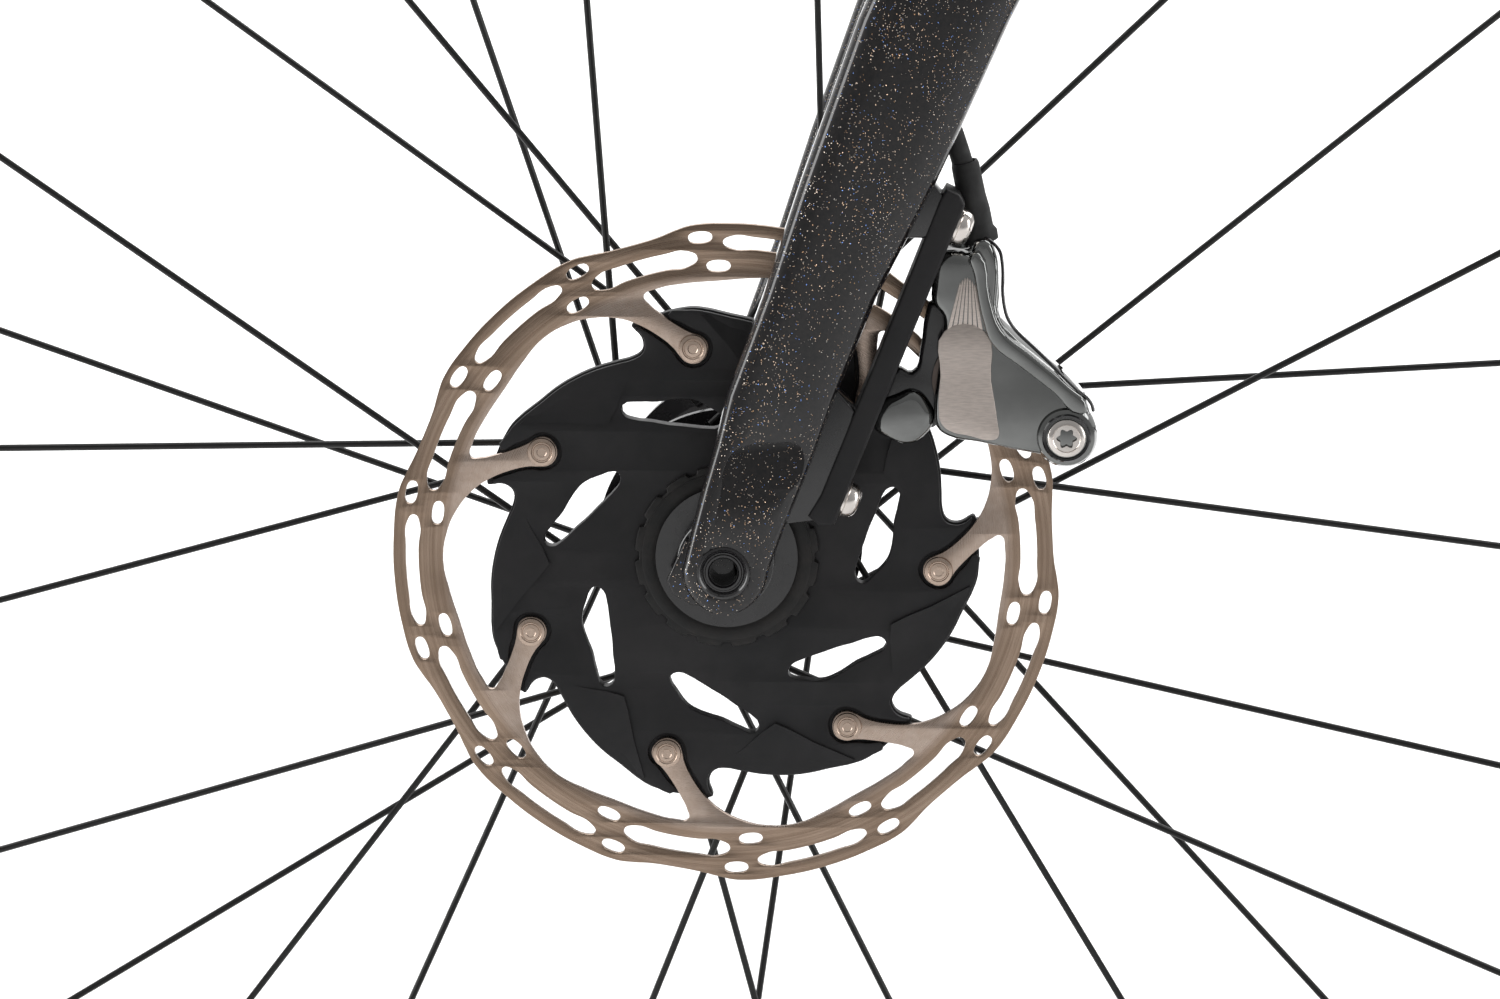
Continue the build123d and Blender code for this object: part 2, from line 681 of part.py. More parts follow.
def leg_row(up):
    """Leg edges and faces at a height over the axle, eased between the measured rows."""
    top = steer_point(-FORK_CROWN_H + 4.0, 1.0)
    centre, half = FRONT_X - top.X, 25.0
    last = (top.Z - WHEEL_R, centre - half, centre + half, CROWN_W / 2 - 22.0, CROWN_W / 2 - 1.0)
    rows = LEG_ROWS + [last]
    k = 0
    while k < len(rows) - 2 and up > rows[k + 1][0]:
        k += 1
    low, high = rows[k], rows[k + 1]
    before, after = rows[max(k - 1, 0)], rows[min(k + 2, len(rows) - 1)]
    span = high[0] - low[0]
    t = (up - low[0]) / span
    values = []
    for n in range(1, 5):
        start = (high[n] - before[n]) / (high[0] - before[0]) * span
        end = (after[n] - low[n]) / (after[0] - low[0]) * span
        a = 2 * low[n] - 2 * high[n] + start + end
        b = 3 * high[n] - 3 * low[n] - 2 * start - end
        values.append(a * t**3 + b * t**2 + start * t + low[n])
    return values


def fork_leg():
    """Blade lofted through evenly spaced level sections."""
    height = steer_point(-FORK_CROWN_H + 4.0, 1.0).Z - WHEEL_R
    faces = []
    for k in range(LEG_SECTIONS):
        up = height * k / (LEG_SECTIONS - 1)
        front, rear, inner, outer = leg_row(up)
        plane = Plane(origin=(FRONT_X - (front + rear) / 2, (inner + outer) / 2, WHEEL_R + up))
        faces.append(plane * RectangleRounded(rear - front, outer - inner, 0.44 * (outer - inner)))
    return loft(faces)


def fork():
    """Legs, crown and steerer in one piece, with pads for the brake plate."""
    leg = fork_leg()
    toe = across(FRONT_X, WHEEL_R, FRONT_DROP_IN, FRONT_DROP_IN + DROPOUT_T, 10.1)
    legs = leg + toe + mirrored(leg + toe)
    low_pad = side_slab([(8, 10), (plate_front(14), 14), (plate_front(38), 38), (22, 42)], 9.5, 18.0)
    high_pad = side_slab([(38, 79), (plate_front(79), 79), (plate_front(89), 89), (46, 94)], 7.0, 18.0)
    legs = legs + front_brake(low_pad) + front_brake(high_pad)
    top = Plane(origin=steer_point(-0.5), x_dir=STEER_FWD, z_dir=STEER_DIR)
    mid = Plane(origin=steer_point(-FORK_CROWN_H * 0.5), x_dir=STEER_FWD, z_dir=STEER_DIR)
    low = Plane(origin=steer_point(-FORK_CROWN_H), x_dir=STEER_FWD, z_dir=STEER_DIR)
    crown = loft([
        top * RectangleRounded(58.0, 58.0, 26.0),
        mid * RectangleRounded(57.0, 74.0, 26.0),
        low * RectangleRounded(50.0, CROWN_W - 2.0, 22.0),
    ])
    body = legs + crown
    gap = TYRE_W / 2 + 6.5
    body = body - across(FRONT_X, WHEEL_R, -gap, gap, WHEEL_R + 8.0)
    race = rod(steer_point(-2.0), steer_point(9.0), 19.4)
    steerer = rod(steer_point(-6.0), steer_point(STEERER_TOP), STEERER_R)
    body = body + race + steerer
    body = body - rod(steer_point(-16.0), steer_point(STEERER_TOP + 1.0), STEERER_R - 2.3)
    body = body - across(FRONT_X, WHEEL_R, -70, 70, AXLE_R + FIT_GAP)
    for height in PLATE_BOLT_UPS:
        body = body - front_brake(rod_of_bolt(height))
    return body - front_brake(swept(front_hose_points(), HOSE_BENDS, HOSE_R + FIT_GAP))


def rod_of_bolt(height):
    """Clearance drilling for a plate bolt."""
    length = math.hypot(1.0, PLATE_SLOPE)
    normal = Vector(-1.0 / length, 0, -PLATE_SLOPE / length)
    seat = Vector(-plate_back(height), PLATE_BOLT_Y, height)
    return rod(seat - normal * 10.0, seat + normal, 2.5 + FIT_GAP)


# ---------------------------------------------------------------- frame
BB_SHELL_R = 24.0
BB_BORE_R = 20.5
SPINDLE_R = 12.0
# Forward place, distance out, height, chord and width.
STAY_ROWS = [
    (BB_X - 2.0, 22.0, BB_Z + 1.0, 34.0, 24.0),
    (BB_X - 75.0, 28.5, BB_Z + 12.5, 30.0, 17.0),
    (BB_X - 200.0, 47.0, BB_Z + 34.6, 25.0, 15.0),
    (REAR_X + 70.0, 66.3, WHEEL_R - 12.1, 22.5, 12.5),
    (REAR_X + 15.0, 75.4, WHEEL_R - 2.6, 21.2, 8.4),
]


# Distance up from the rear axle, distance out, chord and width.
SEAT_STAY_ROWS = [
    (17.0, 75.3, 17.0, 8.0),
    (90.0, 65.0, 15.0, 11.0),
    (200.0, 48.5, 15.0, 12.0),
    (345.0, 25.5, 18.0, 12.0),
]


def seat_stay_rows():
    """Rows of the left seat stay, from the dropout up to the seat tube."""
    top = BB + SEAT_DIR * 425.0
    axle = Vector(REAR_X, 0, WHEEL_R)
    along = (top - axle).normalized()
    rows = []
    for reach, y, chord, width in SEAT_STAY_ROWS:
        point = axle + along * reach
        rows.append((Vector(point.X, y, point.Z), along, chord, width))
    rows.append((Vector(top.X, 10.0, top.Z), along, 26.0, 15.0))
    return rows


def chain_stay_rows():
    return [(Vector(x, y, z), Vector(-1, 0, 0), chord, width) for x, y, z, chord, width in STAY_ROWS]


def main_tubes():
    """Rows for head, down, top and seat tubes."""
    down_start = steer_point(54.0)
    down_dir = (BB - down_start).normalized()
    down_l = (BB - down_start).length
    top_start = steer_point(HEAD_TUBE_L - 30.0)
    top_end = BB + SEAT_DIR * (SEAT_TUBE_L - 30.0)
    top_dir = (top_end - top_start).normalized()
    top_l = (top_end - top_start).length
    head = [
        (steer_point(0), STEER_DIR, 61.0, 60.0), (steer_point(16), STEER_DIR, 60.0, 59.0),
        (steer_point(62), STEER_DIR, 54.0, 50.0), (steer_point(HEAD_TUBE_L - 14), STEER_DIR, 58.5, 58.5),
        (steer_point(HEAD_TUBE_L), STEER_DIR, 58.5, 58.5),
    ]
    down = [
        (down_start, down_dir, 50.0, 46.0), (down_start + down_dir * down_l * 0.3, down_dir, 52.0, 52.0),
        (down_start + down_dir * down_l * 0.75, down_dir, 52.0, 56.0), (BB, down_dir, 50.0, 64.0),
    ]
    top = [
        (top_start, top_dir, 46.0, 44.0), (top_start + top_dir * top_l * 0.35, top_dir, 38.0, 42.0),
        (top_start + top_dir * top_l * 0.8, top_dir, 32.0, 33.0), (top_end, top_dir, 32.0, 30.0),
    ]
    seat = [
        (BB, SEAT_DIR, 46.0, 44.0), (BB + SEAT_DIR * 120, SEAT_DIR, 41.0, 37.0),
        (BB + SEAT_DIR * SEAT_TUBE_L, SEAT_DIR, 38.0, 35.0),
    ]
    return head, down, top, seat


def dropouts():
    """Rear dropout plates; the right one is thin where the hanger laps it."""
    ring = Circle(14.0) + outline([(-4, 13), (12, 26), (24, 18), (24, -10), (0, -13.5)])
    left = slab(ring, REAR_X, WHEEL_R, REAR_DROP_IN, REAR_DROP_IN + REAR_DROPOUT_T)
    right = slab(ring, REAR_X, WHEEL_R, -REAR_DROP_IN - REAR_DROPOUT_T, -REAR_DROP_IN - REAR_DROPOUT_T / 2)
    return left + right


def frame():
    """Hollow frame: every tube is its outside less its own hollow."""
    head, down, top, seat = main_tubes()
    chain_rows, seat_rows = chain_stay_rows(), seat_stay_rows()
    body = tube_loft(head) + tube_loft(down) + tube_loft(top) + tube_loft(seat)
    body = body + across(BB_X, BB_Z, -BB_HALF_W, BB_HALF_W, BB_SHELL_R)
    for rows in (chain_rows, seat_rows):
        stay = tube_loft(rows)
        body = body + stay + mirrored(stay)
    body = body + dropouts()
    gap = TYRE_W / 2 + 5.0
    body = body - across(REAR_X, WHEEL_R, -gap, gap, WHEEL_R + 6.0)
    for rows in (down, top):
        body = body - tube_loft(rows, FRAME_WALL)
    for rows in (chain_rows[:-1], seat_rows[:-1]):
        hollow = tube_loft(rows, FRAME_WALL)
        body = body - hollow - mirrored(hollow)
    body = body - rod(steer_point(-1), steer_point(BEARING_H), BEARING_R)
    body = body - rod(steer_point(HEAD_TUBE_L - BEARING_H), steer_point(HEAD_TUBE_L + 1), BEARING_R)
    body = body - rod(steer_point(1), steer_point(HEAD_TUBE_L - 1), 21.0)
    body = body - rod(BB + SEAT_DIR * 30, BB + SEAT_DIR * (SEAT_TUBE_L + 5), POST_R + FIT_GAP)
    body = body - across(BB_X, BB_Z, -BB_HALF_W - 1, BB_HALF_W + 1, BB_BORE_R)
    body = body - across(REAR_X, WHEEL_R, -90, 90, AXLE_R + FIT_GAP)
    for low, high in bottle_axes():
        body = body - rod(low, high, BOSS_R)
    for height in PLATE_BOLT_UPS:
        body = body - rear_brake(rod_of_bolt(height))
    body = body - rear_brake(plate_body())
    return body - swept(rear_hose_points(), HOSE_BENDS, HOSE_R + FIT_GAP)


BOSS_R = 5.0
BOSS_L = 8.0
BOSS_FLANGE_R = 6.5


def bottle_places():
    """Seats of the four bottle bosses on the down and seat tubes, each with its outward direction."""
    head, down, top, seat = main_tubes()
    down_dir = down[0][1]
    down_out = Vector(-down_dir.Z, 0, down_dir.X) * -1.0
    seat_out = Vector(SEAT_DIR.Z, 0, -SEAT_DIR.X)
    places = []
    for reach in (0.0, BOSS_SPACING):
        places.append((BB - down_dir * (205.0 + reach) + down_out * 26.6, down_out))
        places.append((BB + SEAT_DIR * (195.0 + reach) + seat_out * 20.1, seat_out))
    return places


def bottle_axes():
    return [(seat - out * BOSS_L, seat + out * 2.0) for seat, out in bottle_places()]


def bottle_bosses():
    """Threaded inserts with a thin flange."""
    solids = []
    for seat, out in bottle_places():
        body = rod(seat - out * BOSS_L, seat, BOSS_R - FIT_GAP) + rod(seat, seat + out * 1.2, BOSS_FLANGE_R)
        solids.append(body - rod(seat - out * (BOSS_L + 1), seat + out * 2, BOSS_HOLE_R))
    return gather(*solids)


def headset_bearings():
    low = pipe(steer_point(0.0), steer_point(BEARING_H), BEARING_R - FIT_GAP, 19.9)
    seat, top = steer_point(HEAD_TUBE_L - BEARING_H), steer_point(HEAD_TUBE_L)
    high = pipe(seat, top, BEARING_R - FIT_GAP, STEERER_R + RUN_GAP)
    return gather(low, high)


def bottom_bracket_cups():
    bore = SPINDLE_R + RUN_GAP
    cup = across(BB_X, BB_Z, BB_HALF_W, BB_HALF_W + CUP_FLANGE_W, BB_SHELL_R - 0.5, bore)
    sleeve = across(BB_X, BB_Z, BB_HALF_W - 12.0, BB_HALF_W, BB_BORE_R - FIT_GAP, bore)
    return both(cup + sleeve)


def seatpost_collar():
    """Clamp ring round the top of the seat tube."""
    low, high = BB + SEAT_DIR * SEAT_TUBE_L, BB + SEAT_DIR * (SEAT_TUBE_L + 12.0)
    ring = pipe(low, high, POST_R + 6.0, POST_R + FIT_GAP)
    back = Vector(-SEAT_DIR.Z, 0, SEAT_DIR.X)
    mid = (low + high) * 0.5 + back * (POST_R + 7.0)
    lug = Plane(origin=mid, x_dir=back, z_dir=SEAT_DIR) * Box(9.0, 22.0, 12.0)
    return ring + (lug - pipe_clear(low, high))


def pipe_clear(low, high):
    return rod(low - SEAT_DIR * 2, high + SEAT_DIR * 2, POST_R + 3.0)


def derailleur_hanger():
    """Hanger: a thin eye on the axle inside the dropout, and a thick leg down to the derailleur bolt."""
    high_y = -REAR_DROP_IN
    low_y = high_y - REAR_DROPOUT_T
    mid_y = high_y - REAR_DROPOUT_T / 2
    eye = slab(Circle(12.0), REAR_X, WHEEL_R, mid_y, high_y)
    leg = slab(outline([(-10, -4), (8, -4), (3, -36), (-17, -36)]), REAR_X, WHEEL_R, mid_y, high_y)
    foot = slab(outline([(-12, -16), (5, -16), (2, -36), (-17, -36)]), REAR_X, WHEEL_R, low_y, high_y)
    body = eye + leg + foot
    body = body - across(REAR_X, WHEEL_R, -90, -60, AXLE_R + FIT_GAP)
    return body - across(HANGER_BOLT[0], HANGER_BOLT[1], -90, -60, 5.0 + FIT_GAP)


def rear_hose_points():
    """From the caliper's mouth forwards into the left chainstay."""
    first = [(-60.5, 5.0, 74.0), (-57.5, 5.5, 84.0), (-52.0, 9.0, 104.0), (-40.0, 13.0, 126.0)]
    turn = math.radians(REAR_CALIPER_TURN)
    out = []
    for x, y, z in first:
        fx = x * math.cos(turn) + z * math.sin(turn)
        fz = -x * math.sin(turn) + z * math.cos(turn)
        out.append(Vector(REAR_X + fx, REAR_ROTOR_Y + y, WHEEL_R + fz))
    return out


def thru_axle(x, half, over_left, over_right, cap_left, cap_right):
    """Hollow axle with a flange, and the hub's own axle tube with its two end caps."""
    bolt = across(x, WHEEL_R, -half - over_right, half + over_left, AXLE_R, 3.3)
    tube = across(x, WHEEL_R, -half, half, HUB_AXLE_R, AXLE_R + FIT_GAP)
    left_cap = across(x, WHEEL_R, cap_left + RUN_GAP, half, 11.5, HUB_AXLE_R - 0.5)
    right_cap = across(x, WHEEL_R, -half, -cap_right - RUN_GAP, 11.5, HUB_AXLE_R - 0.5)
    return gather(bolt, tube + left_cap + right_cap)


# ---------------------------------------------------------------- cockpit
def steerer_spacers():
    """Headset cover and round spacers under the stem, one solid each."""
    solids = []
    base = HEAD_TUBE_L + RUN_GAP
    cover = pipe(steer_point(base), steer_point(HEAD_TUBE_L + HEADSET_COVER_H), 27.5, STEERER_R + FIT_GAP)
    solids.append(cover)
    for k in range(3):
        low = HEAD_TUBE_L + HEADSET_COVER_H + k * SPACER_H / 3
        solids.append(pipe(steer_point(low), steer_point(low + SPACER_H / 3), 18.0, STEERER_R + FIT_GAP))
    return gather(*solids)


STEM_AXIS = (BAR_MID - STEM_MID).normalized()
STEM_CLAMP_R = 19.0
BAR_CLAMP_W = 44.0
FACE_GAP = 1.2


def stem():
    """Hollow stem with its rear half of the bar clamp."""
    clamp = pipe(STEM_LOW, STEM_LOW + STEER_DIR * STEM_H, STEM_CLAMP_R, STEERER_R + FIT_GAP)
    rows = [
        (STEM_MID + STEM_AXIS * 8, STEM_AXIS, 36.0, 34.0),
        (STEM_MID + STEM_AXIS * 55, STEM_AXIS, 33.0, 33.0),
        (BAR_MID - STEM_AXIS * 9, STEM_AXIS, 36.0, 42.0),
    ]
    body = tube_loft(rows)
    hollow_rows = [
        (STEM_MID + STEM_AXIS * 20, STEM_AXIS, 36.0, 34.0),
        (BAR_MID - STEM_AXIS * 24, STEM_AXIS, 33.0, 35.0),
    ]
    ring = across(BAR_MID.X, BAR_MID.Z, -BAR_CLAMP_W / 2, BAR_CLAMP_W / 2, BAR_CLAMP_R + 4.5)
    body = clamp + body + ring - tube_loft(hollow_rows, 3.5)
    body = body - rod(STEM_LOW - STEER_DIR, STEM_LOW + STEER_DIR * (STEM_H + 1), STEERER_R + FIT_GAP)
    body = body - across(BAR_MID.X, BAR_MID.Z, -40, 40, BAR_CLAMP_R + FIT_GAP)
    front = Plane(origin=BAR_MID + STEM_AXIS * 30, x_dir=Vector(0, 1, 0).cross(STEM_AXIS), z_dir=STEM_AXIS)
    body = body - front * Box(70, 70, 60)
    rear = STEM_MID - STEER_FWD * (STEM_CLAMP_R + 3)
    lug = Plane(origin=rear, x_dir=STEER_FWD, z_dir=STEER_DIR) * Box(12.0, 18.0, 32.0)
    body = body + (lug - rod(STEM_LOW - STEER_DIR, STEM_LOW + STEER_DIR * (STEM_H + 1), STEM_CLAMP_R - 2))
    for side in (1, -1):
        for height in (1, -1):
            body = body - face_bolt_drill(side, height)
    return body - rod_pair(2.6)


def face_corner(side, height, ahead):
    up = STEM_AXIS.cross(Vector(0, 1, 0)) * -1.0
    return BAR_MID + STEM_AXIS * ahead + Vector(0, side * 15.0, 0) + up * (height * 20.6)


def face_bolt_drill(side, height):
    return rod(face_corner(side, height, -16.0), face_corner(side, height, 12.0), 2.6)


def rod_pair(radius, reach=12.0):
    """Bolts through the clamp lug behind the steerer."""
    rear = STEM_MID - STEER_FWD * (STEM_CLAMP_R + 4)
    half = Vector(0, reach, 0)
    low, high = rear - STEER_DIR * 9.0, rear + STEER_DIR * 9.0
    return rod(low - half, low + half, radius) + rod(high - half, high + half, radius)


def stem_faceplate():
    """Front half of the bar clamp with four bolt ears."""
    ring = across(BAR_MID.X, BAR_MID.Z, -BAR_CLAMP_W / 2, BAR_CLAMP_W / 2, BAR_CLAMP_R + 4.5)
    body = ring
    for side in (1, -1):
        for height in (1, -1):
            body = body + rod(face_corner(side, height, FACE_GAP), face_corner(side, height, 8.0), 5.0)
    body = body - across(BAR_MID.X, BAR_MID.Z, -40, 40, BAR_CLAMP_R + FIT_GAP)
    cut_x = Vector(0, 1, 0).cross(STEM_AXIS)
    rear = Plane(origin=BAR_MID - STEM_AXIS * (30 - FACE_GAP), x_dir=cut_x, z_dir=STEM_AXIS)
    body = body - rear * Box(90, 90, 60)
    for side in (1, -1):
        for height in (1, -1):
            body = body - face_bolt_drill(side, height)
            body = body - rod(face_corner(side, height, 8.0), face_corner(side, height, 16.0), 4.0 + FIT_GAP)
    return body


def stem_fasteners():
    """Four face bolts, two clamp bolts, and the cap with its bolt."""
    solids = []
    for side in (1, -1):
        for height in (1, -1):
            shank = rod(face_corner(side, height, -14.0), face_corner(side, height, 8.0), 2.5)
            head = rod(face_corner(side, height, 8.0), face_corner(side, height, 12.0), 4.0)
            solids.append(shank + head)
    rear = STEM_MID - STEER_FWD * (STEM_CLAMP_R + 4)
    for k in (-9, 9):
        seat = rear + STEER_DIR * k
        shank = rod(seat + Vector(0, -8, 0), seat + Vector(0, 9, 0), 2.5)
        solids.append(shank + rod(seat + Vector(0, 9, 0), seat + Vector(0, 13, 0), 4.0))
    top = STEM_LOW + STEER_DIR * STEM_H
    cap = rod(top, top + STEER_DIR * 4, 17.5) + rod(top - STEER_DIR * 30, top, 2.5)
    solids.append(cap + rod(top + STEER_DIR * 4, top + STEER_DIR * 6, 5.0))
    return gather(*solids)


BAR_FLARE = 3.0
BAR_CORNERS = [
    (0.0, BAR_HALF_W - 10.0, 0.0),
    (BAR_REACH + 3.0, BAR_HALF_W - 4.0, -6.0),
    (BAR_REACH + 6.0, BAR_HALF_W - 1.0, -72.0),
    (BAR_REACH - 16.0, BAR_HALF_W, -BAR_DROP - 2.0),
]
BAR_END = (-22.0, BAR_HALF_W + BAR_FLARE, -BAR_DROP - 9.0)
BAR_RADII = [32.0, 42.0, 40.0, 38.0]


def bar_point(point, side=1):
    return Vector(BAR_MID.X + point[0], side * point[1], BAR_MID.Z + point[2])


def between(a, b, t):
    return tuple(a[k] + (b[k] - a[k]) * t for k in range(3))


def handlebar():
    """Drop bar: clamp bulge, tapers and two bent sides, hollow throughout."""
    wall = 1.8
    r, big = BAR_R, BAR_CLAMP_R
    mid = turned([
        (-62, r), (-38, big), (38, big), (62, r),
        (62, r - wall), (36, big - wall), (-36, big - wall), (-62, r - wall),
    ])
    mid = Pos(BAR_MID.X, 0, BAR_MID.Z) * mid
    points = [bar_point((0.0, 62.0, 0.0))] + [bar_point(c) for c in BAR_CORNERS] + [bar_point(BAR_END)]
    side = swept(points, BAR_RADII, r, r - wall)
    return mid + side + mirrored(side)


TAPE_START = (0.0, 95.0, 0.0)
TAPE_TOP_END = between(BAR_CORNERS[0], BAR_CORNERS[1], 0.42)
TAPE_LOW_START = between(BAR_CORNERS[1], BAR_CORNERS[2], 0.78)


def bar_tape():
    """Tape over the tops and over the drops, and the two end plugs."""
    outer, inner = BAR_R + TAPE_T, BAR_R + 0.05
    top = [bar_point(TAPE_START), bar_point(BAR_CORNERS[0]), bar_point(TAPE_TOP_END)]
    low = [bar_point(TAPE_LOW_START)] + [bar_point(c) for c in BAR_CORNERS[2:]] + [bar_point(BAR_END)]
    upper = swept(top, BAR_RADII[:1], outer, inner)
    lower = swept(low, BAR_RADII[2:], outer, inner)
    end, before = bar_point(BAR_END), bar_point(BAR_CORNERS[3])
    along = (end - before).normalized()
    plug = rod(end - along * 10, end, BAR_R - 1.9) + rod(end, end + along * 4, BAR_R + TAPE_T)
    return both(gather(upper, lower, plug))


HOOD_ROWS = [
    (42.0, -3.0, 34.0, 34.0, 0.0),
    (72.0, 1.0, 44.0, 35.0, 0.0),
    (104.0, 0.0, 43.0, 34.0, 0.0),
    (136.0, 10.0, 46.0, 32.0, 0.15),
    (157.0, 22.0, 46.0, 27.0, 0.3),
]
HOOD_Y = BAR_HALF_W - 3.0
LEVER_PIVOT = (147.0, -4.0)
LEVER_W = 12.0
LEVER_PIN_R = 2.5


def lever_hood():
    """Rubber-covered lever body round the front of the bar."""
    rows = []
    for x, z, chord, width, rise in HOOD_ROWS:
        rows.append((bar_point((x, HOOD_Y, z)), Vector(1, 0, rise), chord, width))
    body = tube_loft(rows)
    points = [bar_point((0.0, 120.0, 0.0))] + [bar_point(c) for c in BAR_CORNERS] + [bar_point(BAR_END)]
    body = body - swept(points, BAR_RADII, BAR_R + 0.05)
    px, pz = LEVER_PIVOT
    corner = bar_point((px - 17.0, HOOD_Y - LEVER_W / 2 - 1.0, pz - 40.0))
    body = body - Pos(corner.X, corner.Y, corner.Z) * Box(60, LEVER_W + 2.0, 54, align=(Align.MIN,) * 3)
    pin_low = bar_point((px, HOOD_Y - 13, pz))
    pin_high = bar_point((px, HOOD_Y + 13, pz))
    return body + rod(pin_low, pin_high, LEVER_PIN_R)


def lever_slab(points, half_w):
    face = outline(points)
    return slab(face, BAR_MID.X, BAR_MID.Z, HOOD_Y - half_w, HOOD_Y + half_w)


PADDLE_AXIS = (140.5, -34.0)


def brake_lever():
    """Curved blade with its eye and the paddle's hinge pin."""
    px, pz = LEVER_PIVOT
    front = [
        (px + 6, pz + 7), (px + 14, -12), (px + 17, -30), (px + 17, -52), (px + 13, -84), (px + 12, -116),
    ]
    rear = [(px + 4, -119), (px + 3, -86), (px + 6, -52), (px + 3, -30), (px - 6, -13), (px - 7, pz)]
    blade = lever_slab(front + rear, LEVER_W / 2)
    blade = blade - across(BAR_MID.X + px, BAR_MID.Z + pz, HOOD_Y - 20, HOOD_Y + 20, LEVER_PIN_R + RUN_GAP)
    ax, az = PADDLE_AXIS
    lug = lever_slab([(ax - 4, az + 2.5), (ax - 4, az + 6.5), (px + 8, az + 8), (px + 8, az + 2.5)], 3.5)
    pin = rod(bar_point((ax, HOOD_Y, az + 4)), bar_point((ax, HOOD_Y, az - 13)), 1.5)
    return blade + lug + pin


def shift_paddle():
    """Paddle behind the blade, hinged on an upright pin."""
    ax, az = PADDLE_AXIS
    barrel = rod(bar_point((ax, HOOD_Y, az + 1.9)), bar_point((ax, HOOD_Y, az - 13)), 3.8)
    wing = lever_slab([(ax, az), (ax - 9, az - 4), (ax - 14, az - 20), (ax - 13, az - 46), (ax - 6, az - 54),
                       (ax + 1, az - 46), (ax + 3, az - 12)], 2.0)
    hole = rod(bar_point((ax, HOOD_Y, az + 5)), bar_point((ax, HOOD_Y, az - 13.8)), 1.9)
    return barrel + wing - hole


# ---------------------------------------------------------------- seat
def seat_point(reach):
    return BB + SEAT_DIR * reach


POST_L = 330.0


def seatpost():
    """Hollow post with a cross head under the saddle clamp."""
    top = seat_point(SADDLE_RAIL_HEIGHT - 24.0)
    post = rod(seat_point(SADDLE_RAIL_HEIGHT - POST_L), top, POST_R)
    head = across(top.X, top.Z, -19.0, 19.0, 12.0)
    body = post + head
    foot, roof = seat_point(SADDLE_RAIL_HEIGHT - POST_L - 1), seat_point(SADDLE_RAIL_HEIGHT - 45)
    body = body - rod(foot, roof, POST_R - 2.6)
    low = (Align.CENTER, Align.CENTER, Align.MIN)
    return body - Pos(RAIL_POINT.X, 0, RAIL_POINT.Z - 12.0) * Box(60, 50, 12, align=low)


def rail_points(side):
    x, z = RAIL_POINT.X, RAIL_POINT.Z
    y = RAIL_SPACING / 2
    return [
        Vector(x - 92, side * 36.0, z + 27), Vector(x - 62, side * y, z), Vector(x + 62, side * y, z),
        Vector(x + 118, side * 12.0, z + 26),
    ]


def saddle_rails():
    return gather(*[swept(rail_points(side), [16.0, 24.0], RAIL_R) for side in (1, -1)])


def saddle_clamp():
    """Cradle below, two caps above and two bolts, gripping the rails."""
    x, z = RAIL_POINT.X, RAIL_POINT.Z
    grip = RAIL_R + 0.03
    y = RAIL_SPACING / 2
    rails = across_x(x, y, z, grip) + across_x(x, -y, z, grip)
    low = Pos(x, 0, z - 12.0) * Box(40, 56, 11.7, align=(Align.CENTER, Align.CENTER, Align.MIN))
    high = Pos(x, 0, z + 0.3) * Box(34, 56, 7, align=(Align.CENTER, Align.CENTER, Align.MIN))
    bolts = []
    for ahead in (-12.0, 12.0):
        shank = rod((x + ahead, 0, z - 10.0), (x + ahead, 0, z + 8.3), 3.0)
        bolts.append(shank + rod((x + ahead, 0, z + 7.3), (x + ahead, 0, z + 11.0), 5.0))
        low = low - rod((x + ahead, 0, z - 10.0), (x + ahead, 0, z + 1), 3.0)
        high = high - rod((x + ahead, 0, z - 1), (x + ahead, 0, z + 9), 3.0)
    return gather(low - rails, high - rails, *bolts)


def across_x(x, y, z, radius):
    return rod((x - 40, y, z), (x + 40, y, z), radius)


# Distance ahead of the rail clamp, width and height of the cushion, and lift of its underside.
SADDLE_ROWS = [
    (-104.0, 96.0, 17.0, 30.0),
    (-84.0, 140.0, 25.0, 27.0),
    (-48.0, SADDLE_W, 27.0, 24.0),
    (0.0, 112.0, 26.0, 23.0),
    (50.0, 58.0, 25.0, 23.0),
    (110.0, 40.0, 23.0, 23.0),
    (SADDLE_L - 104.0, 26.0, 15.0, 27.0),
]


def saddle_loft(inset, height, drop, corner):
    """Loft through the saddle's sections; a height or corner of 0 follows each section's own."""
    faces = []
    for ahead, width, tall, lift in SADDLE_ROWS:
        shift = ahead * (1.0 - inset / 60.0)
        h = height if height else tall
        z = RAIL_POINT.Z + lift - drop + h / 2
        plane = Plane(origin=(RAIL_POINT.X + shift, 0, z), x_dir=(0, 1, 0), z_dir=(1, 0, 0))
        w = width - 2 * inset
        faces.append(plane * RectangleRounded(w, h, corner or 0.42 * min(w, h)))
    return loft(faces)


def rail_sockets():
    """Two sockets at the back and one at the nose."""
    x, z = RAIL_POINT.X, RAIL_POINT.Z
    low = (Align.CENTER, Align.CENTER, Align.MIN)
    back = [Pos(x - 92, side * 36, z + 20) * Box(20, 16, 10, align=low) for side in (1, -1)]
    return [*back, Pos(x + 112, 0, z + 18.5) * Box(24, 34, 8, align=low)]


def saddle_pieces():
    """Rails, the thin shell with their sockets, and the cushion moulded over the shell."""
    rails = saddle_rails()
    shell = saddle_loft(SHELL_INSET, SHELL_T, SHELL_PROUD, SHELL_CORNER)
    depth = 10.0
    recess = saddle_loft(SHELL_INSET, SHELL_T + depth, SHELL_PROUD + depth, SHELL_CORNER)
    cover = saddle_loft(0.0, 0.0, 0.0, 0.0) - recess
    for socket in rail_sockets():
        shell = shell + socket
        cover = cover - socket
    for solid in rails.solids():
        shell = shell - solid
        cover = cover - solid
    return rails, shell, cover


